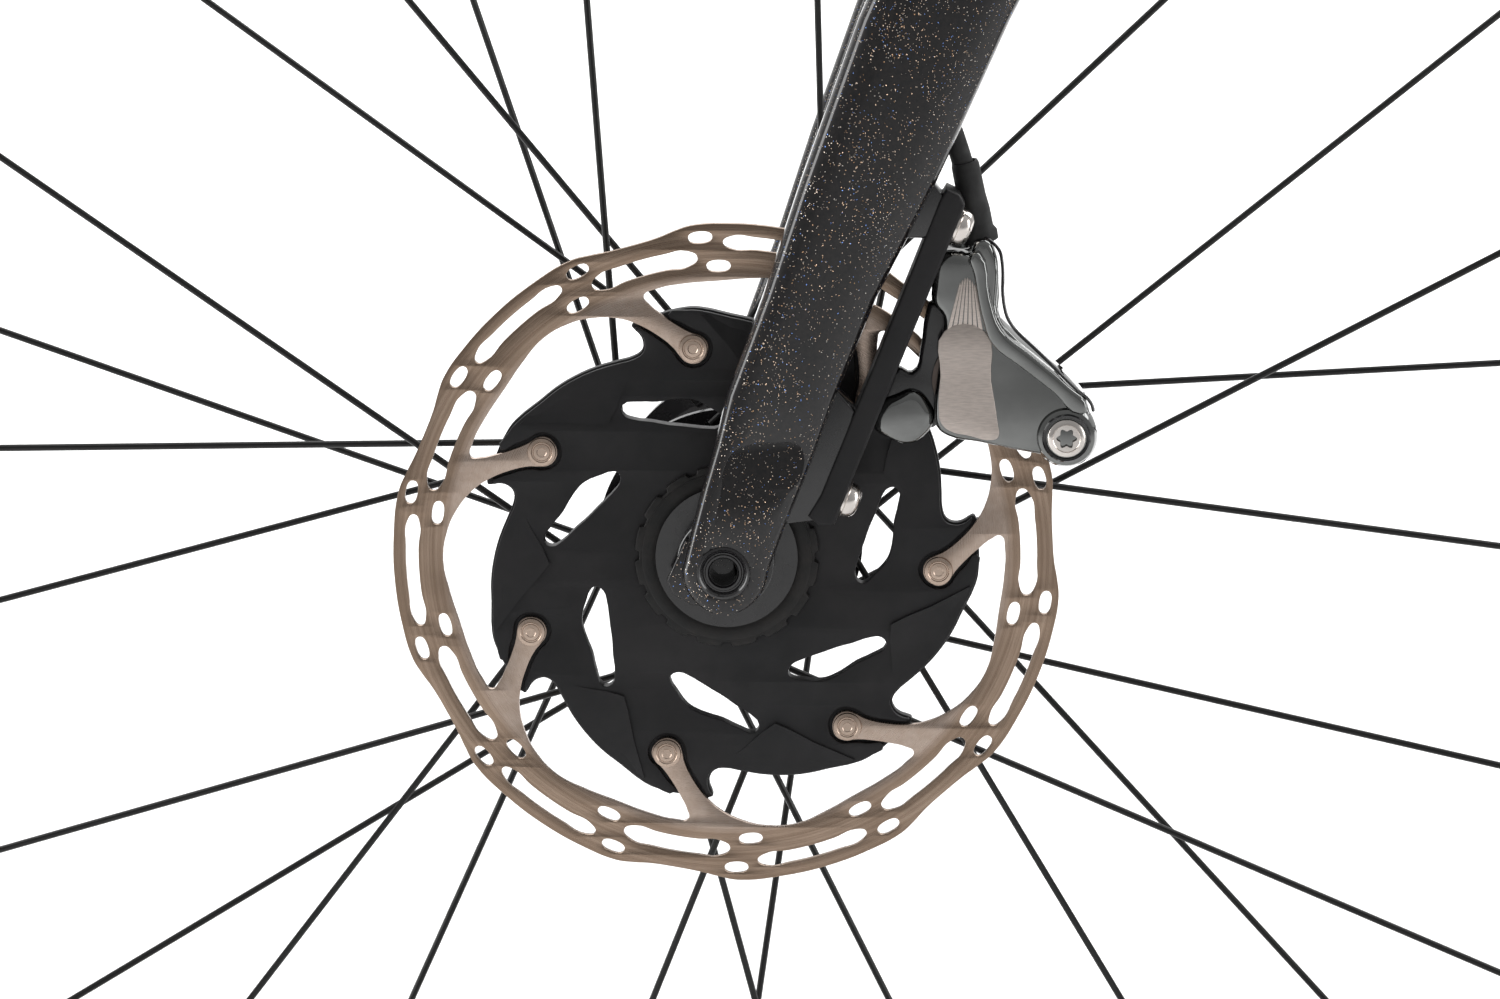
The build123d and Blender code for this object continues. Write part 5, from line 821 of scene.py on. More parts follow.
# ------------------------------------------------------------------ fork
LEG_ROWS = [
    (0.0, -10.0, 10.6, 50.1, 62.0), (10.0, -7.6, 14.2, 50.1, 62.0), (20.0, -5.0, 18.3, 50.1, 62.0),
    (30.0, -2.2, 22.2, 48.8, 62.0), (42.0, 0.6, 26.5, 46.5, 62.0), (65.0, 9.0, 35.8, 45.5, 62.0),
    (92.0, 17.8, 49.5, 45.5, 62.0), (130.0, 31.2, 66.4, 46.0, 62.0), (175.0, 51.0, 89.0, 42.0, 60.0),
    (220.0, 72.0, 113.0, 37.5, 57.0), (270.0, 97.0, 141.0, 31.0, 52.5), (316.0, 122.0, 171.0, 24.0, 45.0),
    (328.0, 131.0, 172.0, 16.0, 33.0),
]
TOE_R = 10.3


def leg_mesh(place):
    """Blade with a rounded toe, in the side frame of the front wheel."""
    rings = []
    for up in (-10.1, -9.6, -8.6, -7.0, -4.6, -2.2):
        half = math.sqrt(TOE_R**2 - up**2)
        rings.append([(0.2 + a, up, 56.05 + b) for a, b in oval(half, 5.95, 4.6, 40)])
    for up, front, rear, inner, outer in LEG_ROWS:
        centre, half = (front + rear) / 2, (rear - front) / 2
        mid, wide = (inner + outer) / 2, (outer - inner) / 2
        power = 4.4 if up < 60 else 3.9
        rings.append([(centre + a, up, mid + b) for a, b in oval(half, wide, power, 40)])
    return skinned(rings, place)


def scoop(place):
    """Cutter for the arched hollow over the axle: deepest under its arch, running out downwards."""
    arch = [(-0.2, 17.5), (-0.4, 21.0), (0.6, 26.0), (2.4, 28.8), (5.6, 30.2), (12.0, 30.9), (17.6, 30.4), (18.9, 28.0),
            (18.3, 23.0), (16.6, 17.5)]
    lean = Matrix.Translation((0, 17.0, 62.0)) @ Matrix.Rotation(math.radians(-13.0), 4, "X") @ Matrix.Translation((0, -17.0, 0))
    return flat([rounded(arch)], 0.0, 9.0, 0.05, place @ lean, 5, 1)


def crown_mesh():
    """Crown in the steering direction, arched over the tyre."""
    rows = [(-1.0, 28.6, 28.6, 2.05), (-9.0, 28.4, 32.5, 2.2), (-18.0, 27.8, 37.0, 2.4), (-28.0, 26.0, 40.5, 2.6), (-36.0, 24.5, 42.0, 2.8)]
    rings = []
    for along, half_x, half_y, power in rows:
        middle = HEAD_LOW + STEER_DIR * along
        rings.append([tuple(middle + STEER_FWD * a + Vector((0, b, 0))) for a, b in oval(half_x, half_y, power, 40)])
    return skinned(rings)


def fork_mesh():
    leg = leg_mesh(FRONT_WHEEL)
    right = leg.copy()
    right.transform(Matrix.Scale(-1, 4, (0, 1, 0)))
    right = tidied(right)
    body = carved(crown_mesh(), leg, "UNION")
    body = carved(body, right, "UNION")
    body = carved(body, bar(HEAD_LOW - STEER_DIR * 0.8, HEAD_LOW + STEER_DIR * 60.0, 90.0, 48))
    tyre_gap = spun([(0, -20.5), (347.0, -20.5), (347.0, 20.5), (0, 20.5)], FRONT_WHEEL, 160)
    body = carved(body, tyre_gap)
    body = carved(body, scoop(FRONT_WHEEL))
    bore = spun([(0, -80), (6.15, -80), (6.15, 80), (0, 80)], FRONT_WHEEL, 48)
    body = carved(body, bore)
    low, high = HEAD_LOW - STEER_DIR * 6, HEAD_LOW + STEER_DIR * 200.0
    race = spun([(0, 0), (19.4, 0), (19.4, 14.5), (18.8, 15.0), (14.3, 15.0), (14.3, 205.5), (0, 205.5)], between_points(low, high), 48)
    return joined([softened(body, 0.00045, 3, 30.0), race])


class ForkBuild(bpy.types.Operator):
    """Lofts the fork's legs, crown and steerer, and finishes the axle ends"""

    bl_idname = "bicycle.fork"
    bl_label = "Fork"

    def execute(self, context):
        show("fork_blades", fork_mesh(), "steering", "flake_paint", ["fork"])
        lip = flat([straight([(-13.8, -3.6), (-12.4, -7.0), (-8.0, -9.6), (-1.0, -10.3), (4.0, -9.6), (2.0, 4.0), (-9.4, 6.0)])],
                   50.3, 53.2, 0.6, FRONT_WHEEL, 1, 3)
        show("fork_lip", lip, "steering", "flake_paint")
        eye = spun([
            (3.35, 48.0), (6.0, 48.0), (6.0, 61.2), (6.35, 61.9), (6.2, 62.3), (5.7, 62.45), (5.3, 62.1), (4.7, 61.2), (4.4, 61.2),
            (4.2, 61.6), (3.7, 61.6), (3.35, 61.0), (3.35, 48.0),
        ], FRONT_WHEEL, 64)
        show("axle_eye", eye, "steering", "gloss_black")
        pads = []
        for loop in ([(8, 10), (23.4, 12), (31, 38), (24, 46), (16, 30)], [(38, 79), (47.6, 79), (51.4, 89), (46, 95)]):
            pads.append(flat([straight(loop)], 9.0, 17.5, 0.8, FRONT_BRAKE, 1, 2))
        show("fork_bosses", joined(pads), "steering", "gloss_black")
        axle = joined([
            spun([(3.3, -63), (5.9, -63), (5.9, 60.9), (3.3, 60.9), (3.3, -63)], FRONT_WHEEL, 48),
            spun([(6.1, -50), (8.5, -50), (8.5, 50), (6.1, 50), (6.1, -50)], FRONT_WHEEL, 48),
            spun([(8.4, 43.4), (11.3, 43.4), (11.5, 43.6), (11.5, 49.8), (11.3, 50), (8.4, 50), (8.4, 43.4)], FRONT_WHEEL, 48),
            spun([(8.4, -50), (11.3, -50), (11.5, -49.8), (11.5, -44.6), (11.3, -44.4), (8.4, -44.4), (8.4, -50)], FRONT_WHEEL, 48),
        ])
        show("front_axle_tube", axle, "steering", "gloss_black", ["front_axle"])
        dress("steel", "rear_axle")
        return {"FINISHED"}


class RotorBuild(bpy.types.Operator):
    """Cuts both rotors, rivets them to their carriers and closes them with lockrings"""

    bl_idname = "bicycle.rotors"
    bl_label = "Rotors and carriers"

    def execute(self, context):
        for end, brake in BRAKES.items():
            x, y = (FRONT_X, FRONT_ROTOR_Y) if end == "front" else (REAR_X, REAR_ROTOR_Y)
            place = side_place(x, y, WHEEL_R)
            turn, wheel = brake["turn"], brake["wheel"]
            show(f"{end}_rotor_ring", rotor_ring(turn, place), wheel, f"{end}_bronze", [f"{end}_rotor"], 25.0)
            show(f"{end}_rivets", rivets(turn, place), wheel, "rivet_bronze")
            ring_nodes = ["front_lockring"] if end == "front" else []
            show(f"{end}_carrier", carrier_plate(turn, place), wheel, "matte_alloy",
                 [f"{end}_rotor_carrier"], 28.0)
            show(f"{end}_lock_ring", lock_ring(place), wheel, f"{end}_ring", ring_nodes)
        return {"FINISHED"}


class CaliperBuild(bpy.types.Operator):
    """Builds both flat-mount calipers with their plates, bolts, clips and pads"""

    bl_idname = "bicycle.calipers"
    bl_label = "Calipers"

    def execute(self, context):
        for end, brake in BRAKES.items():
            place, body = brake["place"], brake["body"]
            plate_nodes = ["caliper_plate"] if end == "front" else []
            show(f"{end}_caliper_body", caliper_shell(place), body, "dark_chrome", [f"{end}_caliper"], 40.0)
            show(f"{end}_caliper_bolt", caliper_bolt(place), body, "silver", [f"{end}_caliper_fittings"])
            show(f"{end}_caliper_seat", caliper_black(place), body, "gloss_black")
            show(f"{end}_badge_panel", badge_panel(place), body, "champagne")
            show(f"{end}_mount_plate", plate_edges(place, 4.5, 18.0), body, "matte_alloy", plate_nodes)
            show(f"{end}_plate_bolts", plate_bolts(place), body, "silver")
            show(f"{end}_pad_clip", wire_clip(place), body, "gloss_black")
        dress("pad_compound", "front_pad_left", "front_pad_right", "rear_pad_left", "rear_pad_right")
        return {"FINISHED"}


class HoseBuild(bpy.types.Operator):
    """Runs the two brake hoses from their calipers into the fork and the stay"""

    bl_idname = "bicycle.hoses"
    bl_label = "Brake hoses"

    def execute(self, context):
        for end, points in (("front", HOSE), ("rear", REAR_HOSE)):
            place, body = BRAKES[end]["place"], BRAKES[end]["body"]
            hose, length, start = hose_curve(f"{end}_hose_run", points, place, body, f"{end}_hose")
            boot = show(f"{end}_hose_boot", hose_boot(place, points), body, "hose_rubber")
        return {"FINISHED"}


# ------------------------------------------------------------------ wheels
LACING = {
    "front": {"place": FRONT_WHEEL, "first": -3.3, "left_r": 29.0, "right_r": 28.0, "left_y": 19.7, "right_y": 33.4},
    "rear": {"place": REAR_WHEEL, "first": 0.0, "left_r": 29.0, "right_r": 27.0, "left_y": 32.0, "right_y": 18.5},
}
CROSS_TURN = 51.4
RIM_IN_R = 277.0


def spoke_set(lace):
    """Spokes with bent heads and stepped nipples."""
    place = lace["place"]
    half = bpy.context.scene.bicycle_sizes.spoke_d / MM / 2
    made = []
    for k in range(SPOKES):
        turn = lace["first"] + k * 360.0 / SPOKES
        left = k % 2 == 0
        lean = 1 if k % 4 < 2 else -1
        side = 1 if left else -1
        flange = lace["left_y"] if left else -lace["right_y"]
        hub = Vector((*polar(lace["left_r"] if left else lace["right_r"], turn + lean * CROSS_TURN), flange + side * lean * 2.3))
        seat = Vector((*polar(RIM_IN_R + 2.5, turn), side * 0.8))
        along = (seat - hub).normalized()
        collar = seat - along * 10.5
        made.append(bar(place_row(place, hub), place_row(place, collar), half, 10))
        turn_in = Matrix.Translation(seat - along * 12.5) @ along.to_track_quat("Z", "Y").to_matrix().to_4x4()
        nipple = [(0.85, 0), (1.55, 0.3), (1.75, 1.2), (1.75, 7.0), (1.9, 7.4), (1.9, 13.5), (0.0, 13.5)]
        made.append(spun(nipple, place @ turn_in, 10))
        far = Vector((hub.x, hub.y, flange - side * lean * 2.6))
        made.append(bar(place_row(place, hub), place_row(place, far), half, 10))
        head = place @ Matrix.Translation(far) @ (far - hub).to_track_quat("Z", "Y").to_matrix().to_4x4()
        made.append(spun([(0, -0.2), (1.5, -0.2), (1.3, 0.5), (0, 0.8)], head, 10))
    return joined(made)


def place_row(place, point):
    """A side-frame point in millimetres of the row frame."""
    return (place @ point) / MM


def tyre_mesh(place):
    """Casing with a smooth crown, a shallow centre rib and stepped shoulders."""
    r, mid = 14.0, WHEEL_R - 14.0
    outside = []
    for k in range(33):
        a = math.radians(-122 + 244 * k / 32)
        step = 0.0 if abs(a) < math.radians(50) else 0.28
        rib = 0.12 if 3 <= abs(math.degrees(a)) % 12 <= 4.5 and abs(a) < math.radians(48) else 0.0
        reach = r - 0.02 - step - rib
        outside.append((mid + reach * math.cos(a), reach * math.sin(a)))
    bead = [(317.2, 10.3), (311.4, 10.3), (311.4, 8.4), (316.5, 8.6)]
    profile = [(p[0], -p[1]) for p in bead[1:3]] + outside + bead[1:3][::-1]
    inside = [(mid + 12.1 * math.cos(a), 12.1 * math.sin(a)) for a in (math.radians(118 - 236 * k / 16) for k in range(17))]
    return spun(profile + inside + [profile[0]], place, 180)


class WheelBuild(bpy.types.Operator):
    """Laces both wheels and mounts their tyres"""

    bl_idname = "bicycle.wheels"
    bl_label = "Wheels"

    def execute(self, context):
        for end, lace in LACING.items():
            wheel = BRAKES[end]["wheel"]
            show(f"{end}_spoke_set", spoke_set(lace), wheel, "spoke_black", [f"{end}_spokes"])
            show(f"{end}_tyre_casing", tyre_mesh(lace["place"]), wheel, "tyre_rubber", [f"{end}_tyre"], 20.0)
            stem = spun([(0, 250), (2.6, 250), (3.0, 252), (3.0, 282), (0, 282)], lace["place"] @ valve_turn(end), 16)
            show(f"{end}_valve_stem", stem, wheel, "silver")
        dress("gloss_black", "front_rim", "rear_rim", "front_hub", "rear_hub")
        return {"FINISHED"}


def valve_turn(end):
    """Turns the third axis of a side frame out towards the valve."""
    turn = 273.1 if end == "front" else 263.6
    return Matrix.Rotation(math.radians(turn), 4, "Z") @ Matrix.Rotation(math.radians(90), 4, "Y")


# ------------------------------------------------------------------ cockpit
BAR_HALF_W = 205.0
BAR_ROUTE = [
    (0.0, 62.0, 0.0), (0.0, 150.0, 0.0), (0.0, 195.0, 0.0), (30.0, 200.0, -2.0), (60.0, 200.0, -4.0), (83.0, 201.0, -6.0),
    (86.0, 203.0, -45.0), (86.0, 204.0, -72.0), (72.0, 204.6, -112.0), (64.0, 205.0, -127.0), (20.0, 206.0, -130.0), (-22.0, 208.0, -134.0),
]
HOOD_ROWS = [
    (38.0, -3.0, 31.0, 32.0), (46.0, -2.0, 36.0, 34.5), (72.0, 1.0, 43.0, 35.0), (104.0, 0.0, 42.5, 34.0),
    (128.0, 7.0, 45.0, 32.5), (148.0, 17.0, 46.0, 29.0), (158.0, 22.5, 42.0, 25.0), (161.5, 24.5, 32.0, 18.0),
]


def smooth_line(points, count):
    """Evenly read points of the smooth line that the control points shape."""
    curve = bpy.data.curves.new("line", "CURVE")
    curve.dimensions = "3D"
    spline = curve.splines.new("NURBS")
    spline.points.add(len(points) - 1)
    for knot, point in zip(spline.points, points):
        knot.co = (*point, 1)
    spline.order_u = 3
    spline.use_endpoint_u = True
    spline.resolution_u = 24
    obj = linked("line", curve)
    mesh = evaluated(obj)
    bpy.data.objects.remove(obj)
    line = [v.co.copy() for v in mesh.vertices]
    reach = [0.0]
    for a, b in zip(line, line[1:]):
        reach.append(reach[-1] + (b - a).length)
    out, j = [], 0
    for k in range(count):
        s = reach[-1] * k / (count - 1)
        while j < len(reach) - 2 and reach[j + 1] < s:
            j += 1
        t = (s - reach[j]) / max(reach[j + 1] - reach[j], 1e-9)
        out.append(line[j].lerp(line[j + 1], min(max(t, 0.0), 1.0)))
    return out, reach[-1]


def wound_tape(first, last, side):
    """Tape wound round the bar, each turn lapping the one before."""
    points = [BAR_MID + Vector((x, side * y, z)) for x, y, z in BAR_ROUTE]
    line, length = smooth_line(points, 300)
    chosen = line[int(first * 299): int(last * 299) + 1]
    step = length / 299
    sides, pitch = 28, bpy.context.scene.bicycle_sizes.tape_pitch / MM
    rings = []
    for k, point in enumerate(chosen):
        ahead = chosen[min(k + 1, len(chosen) - 1)] - chosen[max(k - 1, 0)]
        across = Vector((0, 1, 0)) if abs(ahead.normalized().y) < 0.9 else Vector((0, 0, 1))
        a_axis = ahead.cross(across).normalized()
        b_axis = ahead.cross(a_axis).normalized()
        ring = []
        for n in range(sides):
            a = math.tau * n / sides
            phase = (k * step / pitch + side * n / sides) % 1.0
            lift = 1.75 + 0.75 * phase - 0.9 * max(0.0, 1.0 - phase * 9.0) * 0.6
            if k in (0, len(chosen) - 1):
                lift = 0.3
            ring.append(tuple(point + (a_axis * math.cos(a) + b_axis * math.sin(a)) * (12.0 + lift)))
        rings.append(ring)
    return skinned(rings)


def hood_mesh(side):
    """Crowned rubber cover over the lever body, pulled in at its waist and at its ends."""
    rings = []
    for x, z, tall, wide in HOOD_ROWS:
        rings.append([(BAR_MID.x + x, side * (202.0 + b), BAR_MID.z + z + a) for a, b in oval(tall / 2, wide / 2 - 0.4, 2.7, 28)])
    body = with_modifier(tidied(skinned(rings)), "SUBSURF", levels=1, render_levels=1)
    lever_slot = placed(skinned([
        [(130.0, side * 202 - 7.2, -48.0), (190.0, side * 202 - 7.2, -48.0), (190.0, side * 202 + 7.2, -48.0), (130.0, side * 202 + 7.2, -48.0)],
        [(130.0, side * 202 - 7.2, 9.0), (190.0, side * 202 - 7.2, 9.0), (190.0, side * 202 + 7.2, 9.0), (130.0, side * 202 + 7.2, 9.0)],
    ], Matrix.Identity(4)), ROW @ Matrix.Translation(BAR_MID))
    return softened(carved(tidied(body), tidied(lever_slot)), 0.0012, 2, 40.0)


class CockpitBuild(bpy.types.Operator):
    """Winds the bar tape, covers the levers and finishes stem, bar and levers"""

    bl_idname = "bicycle.cockpit"
    bl_label = "Cockpit"

    def execute(self, context):
        for side, hand in ((1, "left"), (-1, "right")):
            top = show(f"bar_tape_top_{hand}", wound_tape(0.075, 0.385, side), "steering", "tape_cloth", ["bar_tape"], 60.0)
            drop = show(f"bar_tape_drop_{hand}", wound_tape(0.48, 0.995, side), "steering", "tape_cloth", (), 60.0)
            end, before = Vector(BAR_ROUTE[-1]), Vector(BAR_ROUTE[-2])
            flip = Vector((1, side, 1))
            tip, back = BAR_MID + end * flip, BAR_MID + before * flip
            at = between_points(tip, tip + (tip - back))
            plug = spun([(0, -6), (10.2, -6), (10.2, 0), (14.2, 0.2), (14.3, 1.6), (12.8, 3.2), (6.0, 3.9), (0, 3.6)], at, 40)
            show(f"bar_plug_{hand}", plug, "steering", "composite")
            hood = show(f"lever_cover_{hand}", hood_mesh(side), "steering", "hood_rubber", ["lever_hoods"], 40.0)
        dress("composite", "shift_paddle_left", "shift_paddle_right", "brake_lever_left", "brake_lever_right")
        dress("matte_alloy", "stem", "stem_faceplate", "steerer_spacers", "handlebar")
        dress("silver", "stem_fasteners")
        return {"FINISHED"}


# ------------------------------------------------------------------ saddle
SADDLE_ROWS = [
    (-103.0, 70.0, 12.0, 32.5), (-99.0, 104.0, 17.0, 30.5), (-84.0, 139.0, 24.0, 27.0), (-64.0, 144.5, 26.5, 25.0),
    (-48.0, 144.5, 27.0, 24.0), (-20.0, 130.0, 26.5, 23.5), (0.0, 112.0, 26.0, 23.0), (25.0, 82.0, 25.5, 23.0),
    (50.0, 58.0, 25.0, 23.0), (80.0, 46.0, 24.2, 23.0), (110.0, 40.0, 22.6, 23.0), (140.0, 33.0, 19.0, 24.6),
    (153.0, 27.0, 15.0, 26.6), (157.0, 17.0, 9.0, 29.0),
]


def saddle_mesh():
    """Crowned cushion with a soft channel down its middle."""
    count = 44
    rings = []
    for ahead, wide, tall, lift in SADDLE_ROWS:
        ring = []
        for a, b in oval(wide / 2, tall / 2, 2.9, count):
            x, z = a, b
            share = x / (wide / 2)
            if b > 0:
                z = b * (1.0 - 0.22 * abs(share) ** 3)
                if -90 < ahead < 120:
                    z -= 3.2 * math.exp(-((x / 7.5) ** 2)) * math.sin(math.pi * (ahead + 90) / 210)
            else:
                z = b * (0.92 + 0.08 * abs(share))
            ring.append((RAIL_POINT.x + ahead, x, RAIL_POINT.z + lift + tall / 2 + z))
        rings.append(ring)
    return with_modifier(tidied(skinned(rings)), "SUBSURF", levels=1, render_levels=1)


def seam_line(height_share, side):
    """Raised seam along the cushion's flank."""
    points = []
    for ahead, wide, tall, lift in SADDLE_ROWS[1:-1]:
        share = abs(height_share)
        x = wide / 2 * (1.0 - share ** 2.9) ** (1 / 2.9)
        points.append((RAIL_POINT.x + ahead, side * (x + 0.1), RAIL_POINT.z + lift + tall / 2 - share * tall / 2))
    line, _ = smooth_line(points, 90)
    rings = []
    for k, point in enumerate(line):
        rings.append([tuple(point + Vector((0, b, a))) for a, b in oval(0.9, 0.7, 2.0, 8)])
    return skinned(rings)


class SaddleBuild(bpy.types.Operator):
    """Shapes the saddle's cushion and finishes what holds it"""

    bl_idname = "bicycle.saddle"
    bl_label = "Saddle"

    def execute(self, context):
        cushion = show("saddle_cushion", saddle_mesh(), "saddle_and_post", "leather", ["saddle_cover"], 50.0)
        seams = joined([seam_line(0.42, 1), seam_line(0.42, -1)])
        show("saddle_seam", seams, "saddle_and_post", "leather", (), 60.0)
        dress("composite", "saddle_shell")
        dress("gloss_black", "seatpost")
        dress("steel", "saddle_rails")
        dress("matte_alloy", "saddle_clamp")
        return {"FINISHED"}


# ------------------------------------------------------------------ chain and drive
LINK_LOOP = [((-88.985, 269.0), 97.09, 1), ((-450.965, 193.0), 24.53, 1), ((-476.965, 263.0), 24.53, -1), ((-492.965, 339.0), 30.54, 1)]


def run_between(first, second):
    """Leaving and meeting points of the straight run between two wheels."""
    (x1, z1), r1, s1 = first
    (x2, z2), r2, s2 = second
    dx, dz = x2 - x1, z2 - z1
    d = math.hypot(dx, dz)
    a = math.atan2(dz, dx) + math.acos((s1 * r1 - s2 * r2) / d)
    n = Vector((math.cos(a), math.sin(a)))
    return Vector((x1, z1)) + n * s1 * r1, Vector((x2, z2)) + n * s2 * r2


def chain_line():
    """Closed path of the chain's pins, as closely spaced points."""
    runs = [run_between(LINK_LOOP[k], LINK_LOOP[(k + 1) % 4]) for k in range(4)]
    line = []
    for k in range(4):
        leave, meet = runs[k]
        line += [leave.lerp(meet, j / 60) for j in range(60)]
        (cx, cz), r, sense = LINK_LOOP[(k + 1) % 4]
        nxt = runs[(k + 1) % 4][0]
        a = math.atan2(meet.y - cz, meet.x - cx)
        b = math.atan2(nxt.y - cz, nxt.x - cx)
        sweep = (a - b) % math.tau if sense > 0 else -((b - a) % math.tau)
        line += [Vector((cx + r * math.cos(a - sweep * j / 40), cz + r * math.sin(a - sweep * j / 40))) for j in range(40)]
    return line


def pins_along(line):
    """Evenly spaced pins, an even number of them."""
    reach = [0.0]
    for a, b in zip(line, line[1:] + line[:1]):
        reach.append(reach[-1] + (b - a).length)
    count = 2 * round(reach[-1] / CHAIN_PITCH / 2)
    closed, out, j = line + line[:1], [], 0
    for k in range(count):
        s = reach[-1] * k / count
        while reach[j + 1] < s:
            j += 1
        out.append(closed[j].lerp(closed[j + 1], (s - reach[j]) / (reach[j + 1] - reach[j])))
    return out


def waisted(half, waist, end_r):
    """Half-length outline of a link plate, wide at its pins and narrow between them."""
    points = []
    for k in range(5):
        a = math.radians(110 - 55 * k)
        points.append((half + end_r * math.cos(a), end_r * math.sin(a)))
    for k in range(5):
        a = math.radians(290 - 55 * k)
        points.append((-half + end_r * math.cos(a), end_r * math.sin(a)))
    return points[:5] + [(0, -waist)] + points[5:] + [(0, waist)]


def chain_mesh():
    pins = pins_along(chain_line())
    outer = flat([straight(waisted(CHAIN_PITCH / 2, 2.6, 3.9))], -0.45, 0.45, 0.12, Matrix.Identity(4), 1, 0)
    inner = flat([straight(waisted(CHAIN_PITCH / 2, 2.9, 3.9))], -0.45, 0.45, 0.12, Matrix.Identity(4), 1, 0)
    roller = spun([(0, -1.25), (3.7, -1.25), (3.7, 1.25), (0, 1.25)], Matrix.Identity(4), 10)
    pin = spun([(0, -2.75), (1.7, -2.75), (1.7, 2.75), (0, 2.75)], Matrix.Identity(4), 8)
    bm = bmesh.new()

    def drop(mesh, at):
        before = set(bm.verts)
        bm.from_mesh(mesh)
        bmesh.ops.transform(bm, matrix=at, verts=[v for v in bm.verts if v not in before])

    for k, start in enumerate(pins):
        end = pins[(k + 1) % len(pins)]
        middle, run = (start + end) / 2, end - start
        turn = Matrix.Rotation(math.atan2(run.y, run.x), 4, "Z")
        plate, offset = (outer, 2.2) if k % 2 else (inner, 1.75)
        upright = ROW @ Matrix.Rotation(math.radians(90), 4, "X")
        for side in (1, -1):
            drop(plate, upright @ Matrix.Translation((middle.x, middle.y, -CHAIN_Y + side * offset)) @ turn)
        for piece in (roller, pin):
            drop(piece, upright @ Matrix.Translation((start.x, start.y, -CHAIN_Y)))
    mesh = bpy.data.meshes.new("chain")
    bm.to_mesh(mesh)
    bm.free()
    return mesh


class DriveBuild(bpy.types.Operator):
    """Links the chain and finishes the drive's metal"""

    bl_idname = "bicycle.drive"
    bl_label = "Drive"

    def execute(self, context):
        show("chain_links", chain_mesh(), "main_frame", "chain_steel", ["chain"], 40.0)
        dress("steel", "cassette")
        dress("chain_steel", "chainrings")
        dress("gloss_black", "crankset", "rear_derailleur_body", "front_derailleur")
        dress("matte_alloy", "rear_derailleur_cage", "bottom_bracket_cups", "derailleur_hanger", "seatpost_collar")
        dress("composite", "pedal_left", "pedal_right", "guide_pulley", "tension_pulley")
        dress("steel", "headset_bearings")
        dress("matte_alloy", "bottle_bosses")
        return {"FINISHED"}


class FrameBuild(bpy.types.Operator):
    """Paints the frame"""

    bl_idname = "bicycle.frame"
    bl_label = "Frame"

    def execute(self, context):
        dress("flake_paint", "frame")
        return {"FINISHED"}


# ------------------------------------------------------------------ stage
class StageBuild(bpy.types.Operator):
    """Sets the floor, the soft lights and the camera"""

    bl_idname = "bicycle.stage"
    bl_label = "Stage"

    def execute(self, context):
        sizes = context.scene.bicycle_stage
        bm = bmesh.new()
        bmesh.ops.create_grid(bm, x_segments=1, y_segments=1, size=sizes.floor_size / 2)
        mesh = bpy.data.meshes.new("floor")
        bm.to_mesh(mesh)
        bm.free()
        floor = linked("floor", mesh)
        floor.data.materials.append(finish_of("pale_floor"))
        world = bpy.data.worlds.new("studio")
        world.use_nodes = True
        background = world.node_tree.nodes["Background"]
        tree = world.node_tree
        facing = tree.nodes.new("ShaderNodeSeparateXYZ")
        tree.links.new(tree.nodes.new("ShaderNodeTexCoord").outputs["Generated"], facing.inputs[0])
        fade = tree.nodes.new("ShaderNodeMapRange")
        for key, value in (("From Min", -1.0), ("From Max", 1.0), ("To Min", 2.2 * sizes.room_light), ("To Max", sizes.room_light)):
            fade.inputs[key].default_value = value
        tree.links.new(facing.outputs["Y"], fade.inputs["Value"])
        tree.links.new(fade.outputs["Result"], background.inputs["Strength"])
        background.inputs["Color"].default_value = (1.0, 1.0, 1.0, 1.0)
        context.scene.world = world
        target = Vector((0.45, 0.0, 0.36))
        lights = [
            ("light_over", (0.45, -4.2, 3.4), 11.0, 7.0, 620.0),
            ("light_front", (3.2, 0.4, 1.0), 0.9, 2.4, 34.0),
            ("light_rear", (-2.6, 0.7, 1.2), 0.9, 2.2, 26.0),
        ]
        for name, spot, wide, tall, power in lights:
            data = bpy.data.lights.new(name, "AREA")
            data.shape = "RECTANGLE"
            data.size, data.size_y, data.energy = wide, tall, power * sizes.light_power
            lamp = linked(name, data)
            lamp.location = spot
            aim = Vector((0, 0, -1)) if name == "light_over" else target - Vector(spot)
            lamp.rotation_euler = aim.to_track_quat("-Z", "Y").to_euler()
        context.scene.view_settings.view_transform = "Standard"
        camera = bpy.data.cameras.new("camera")
        camera.sensor_width, camera.lens = 36.0, sizes.lens
        camera.clip_start, camera.clip_end = 0.05, 100.0
        view = linked("camera", camera)
        view.location = Vector((442.9, 1283.3, 587.9)) * MM
        view.rotation_euler = Vector((0.0352, -0.9820, -0.1859)).to_track_quat("-Z", "Y").to_euler()
        context.scene.camera = view
        return {"FINISHED"}


class BicycleSizes(bpy.types.PropertyGroup):
    """Thicknesses and counts of the small parts."""

    spoke_d: bpy.props.FloatProperty(name="Spoke thickness", description="Diameter of a spoke", default=0.0017, unit="LENGTH",
                                     min=0.001, max=0.003, precision=5)
    hose_d: bpy.props.FloatProperty(name="Hose thickness", description="Outer diameter of a brake hose", default=0.005,
                                    unit="LENGTH", min=0.003, max=0.006, precision=5)
    tape_pitch: bpy.props.FloatProperty(name="Tape pitch", description="Distance from one turn of the bar tape to the next",
                                        default=0.022, unit="LENGTH", min=0.01, max=0.04, precision=5)
    ring_notches: bpy.props.IntProperty(name="Lockring notches", description="Number of notches round a lockring", default=16,
                                        min=8, max=24)


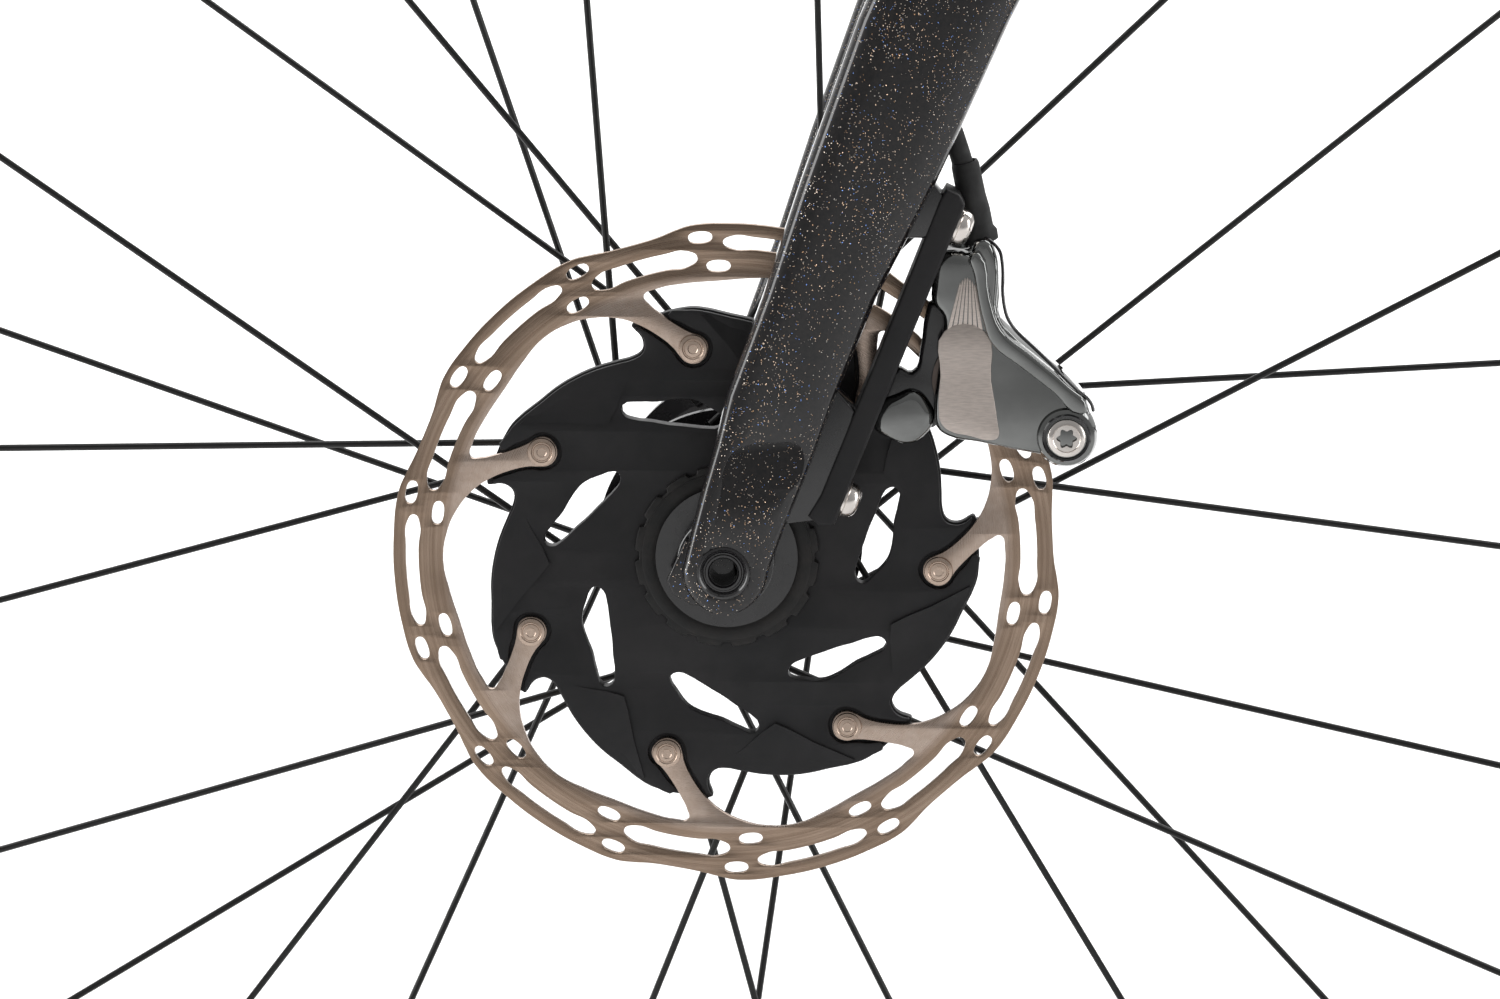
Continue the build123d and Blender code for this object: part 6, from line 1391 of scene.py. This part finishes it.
class BicycleColours(bpy.types.PropertyGroup):
    """Colours of the metals that show most."""

    caliper: bpy.props.FloatVectorProperty(name="Caliper", description="Colour of the polished calipers", subtype="COLOR",
                                           default=(0.235, 0.24, 0.235), min=0.0, max=1.0)
    badge: bpy.props.FloatVectorProperty(name="Badge panel", description="Colour of the calipers' brushed panel",
                                         subtype="COLOR", default=(0.60, 0.53, 0.485), min=0.0, max=1.0)
    rotor_arm: bpy.props.FloatVectorProperty(name="Rotor arm", description="Lighter colour of the rotor's arms",
                                             subtype="COLOR", default=(0.48, 0.385, 0.325), min=0.0, max=1.0)
    bolt: bpy.props.FloatVectorProperty(name="Bolts", description="Colour of the bright bolts", subtype="COLOR",
                                        default=(0.78, 0.73, 0.69), min=0.0, max=1.0)


class StageSizes(bpy.types.PropertyGroup):
    """Floor, light and lens."""

    floor_size: bpy.props.FloatProperty(name="Floor size", description="Length of the floor's sides", default=60.0,
                                        unit="LENGTH", min=5.0)
    room_light: bpy.props.FloatProperty(name="Room light", description="Brightness of the room", default=0.3, min=0.0)
    light_power: bpy.props.FloatProperty(name="Light power", description="Strength of the soft lights together",
                                         default=1.0, min=0.0)
    lens: bpy.props.FloatProperty(name="Lens", description="Focal length of the camera in millimetres", default=127.3)


class BicyclePanel(bpy.types.Panel):
    """Lists the bicycle's builders."""

    bl_idname = "VIEW3D_PT_bicycle"
    bl_label = "Bicycle"
    bl_space_type = "VIEW_3D"
    bl_region_type = "UI"
    bl_category = "Bicycle"

    def draw(self, context):
        for group in (context.scene.bicycle_sizes, context.scene.bicycle_colours, context.scene.bicycle_stage):
            for name in group.__annotations__:
                self.layout.prop(group, name)
        for builder in BUILDERS:
            self.layout.operator(builder.bl_idname)


BUILDERS = [StageBuild, HoseBuild, ForkBuild, RotorBuild, CaliperBuild, WheelBuild, CockpitBuild, SaddleBuild, DriveBuild, FrameBuild]
CLASSES = [BicycleSizes, BicycleColours, StageSizes, *BUILDERS, BicyclePanel]


def register():
    for cls in CLASSES:
        bpy.utils.register_class(cls)
    bpy.types.Scene.bicycle_sizes = bpy.props.PointerProperty(type=BicycleSizes)
    bpy.types.Scene.bicycle_colours = bpy.props.PointerProperty(type=BicycleColours)
    bpy.types.Scene.bicycle_stage = bpy.props.PointerProperty(type=StageSizes)


def unregister():
    del bpy.types.Scene.bicycle_sizes
    del bpy.types.Scene.bicycle_colours
    del bpy.types.Scene.bicycle_stage
    for cls in reversed(CLASSES):
        bpy.utils.unregister_class(cls)


def main():
    register()
    for builder in BUILDERS:
        group, action = builder.bl_idname.split(".")
        getattr(getattr(bpy.ops, group), action)()


if __name__ == "__main__":
    main()
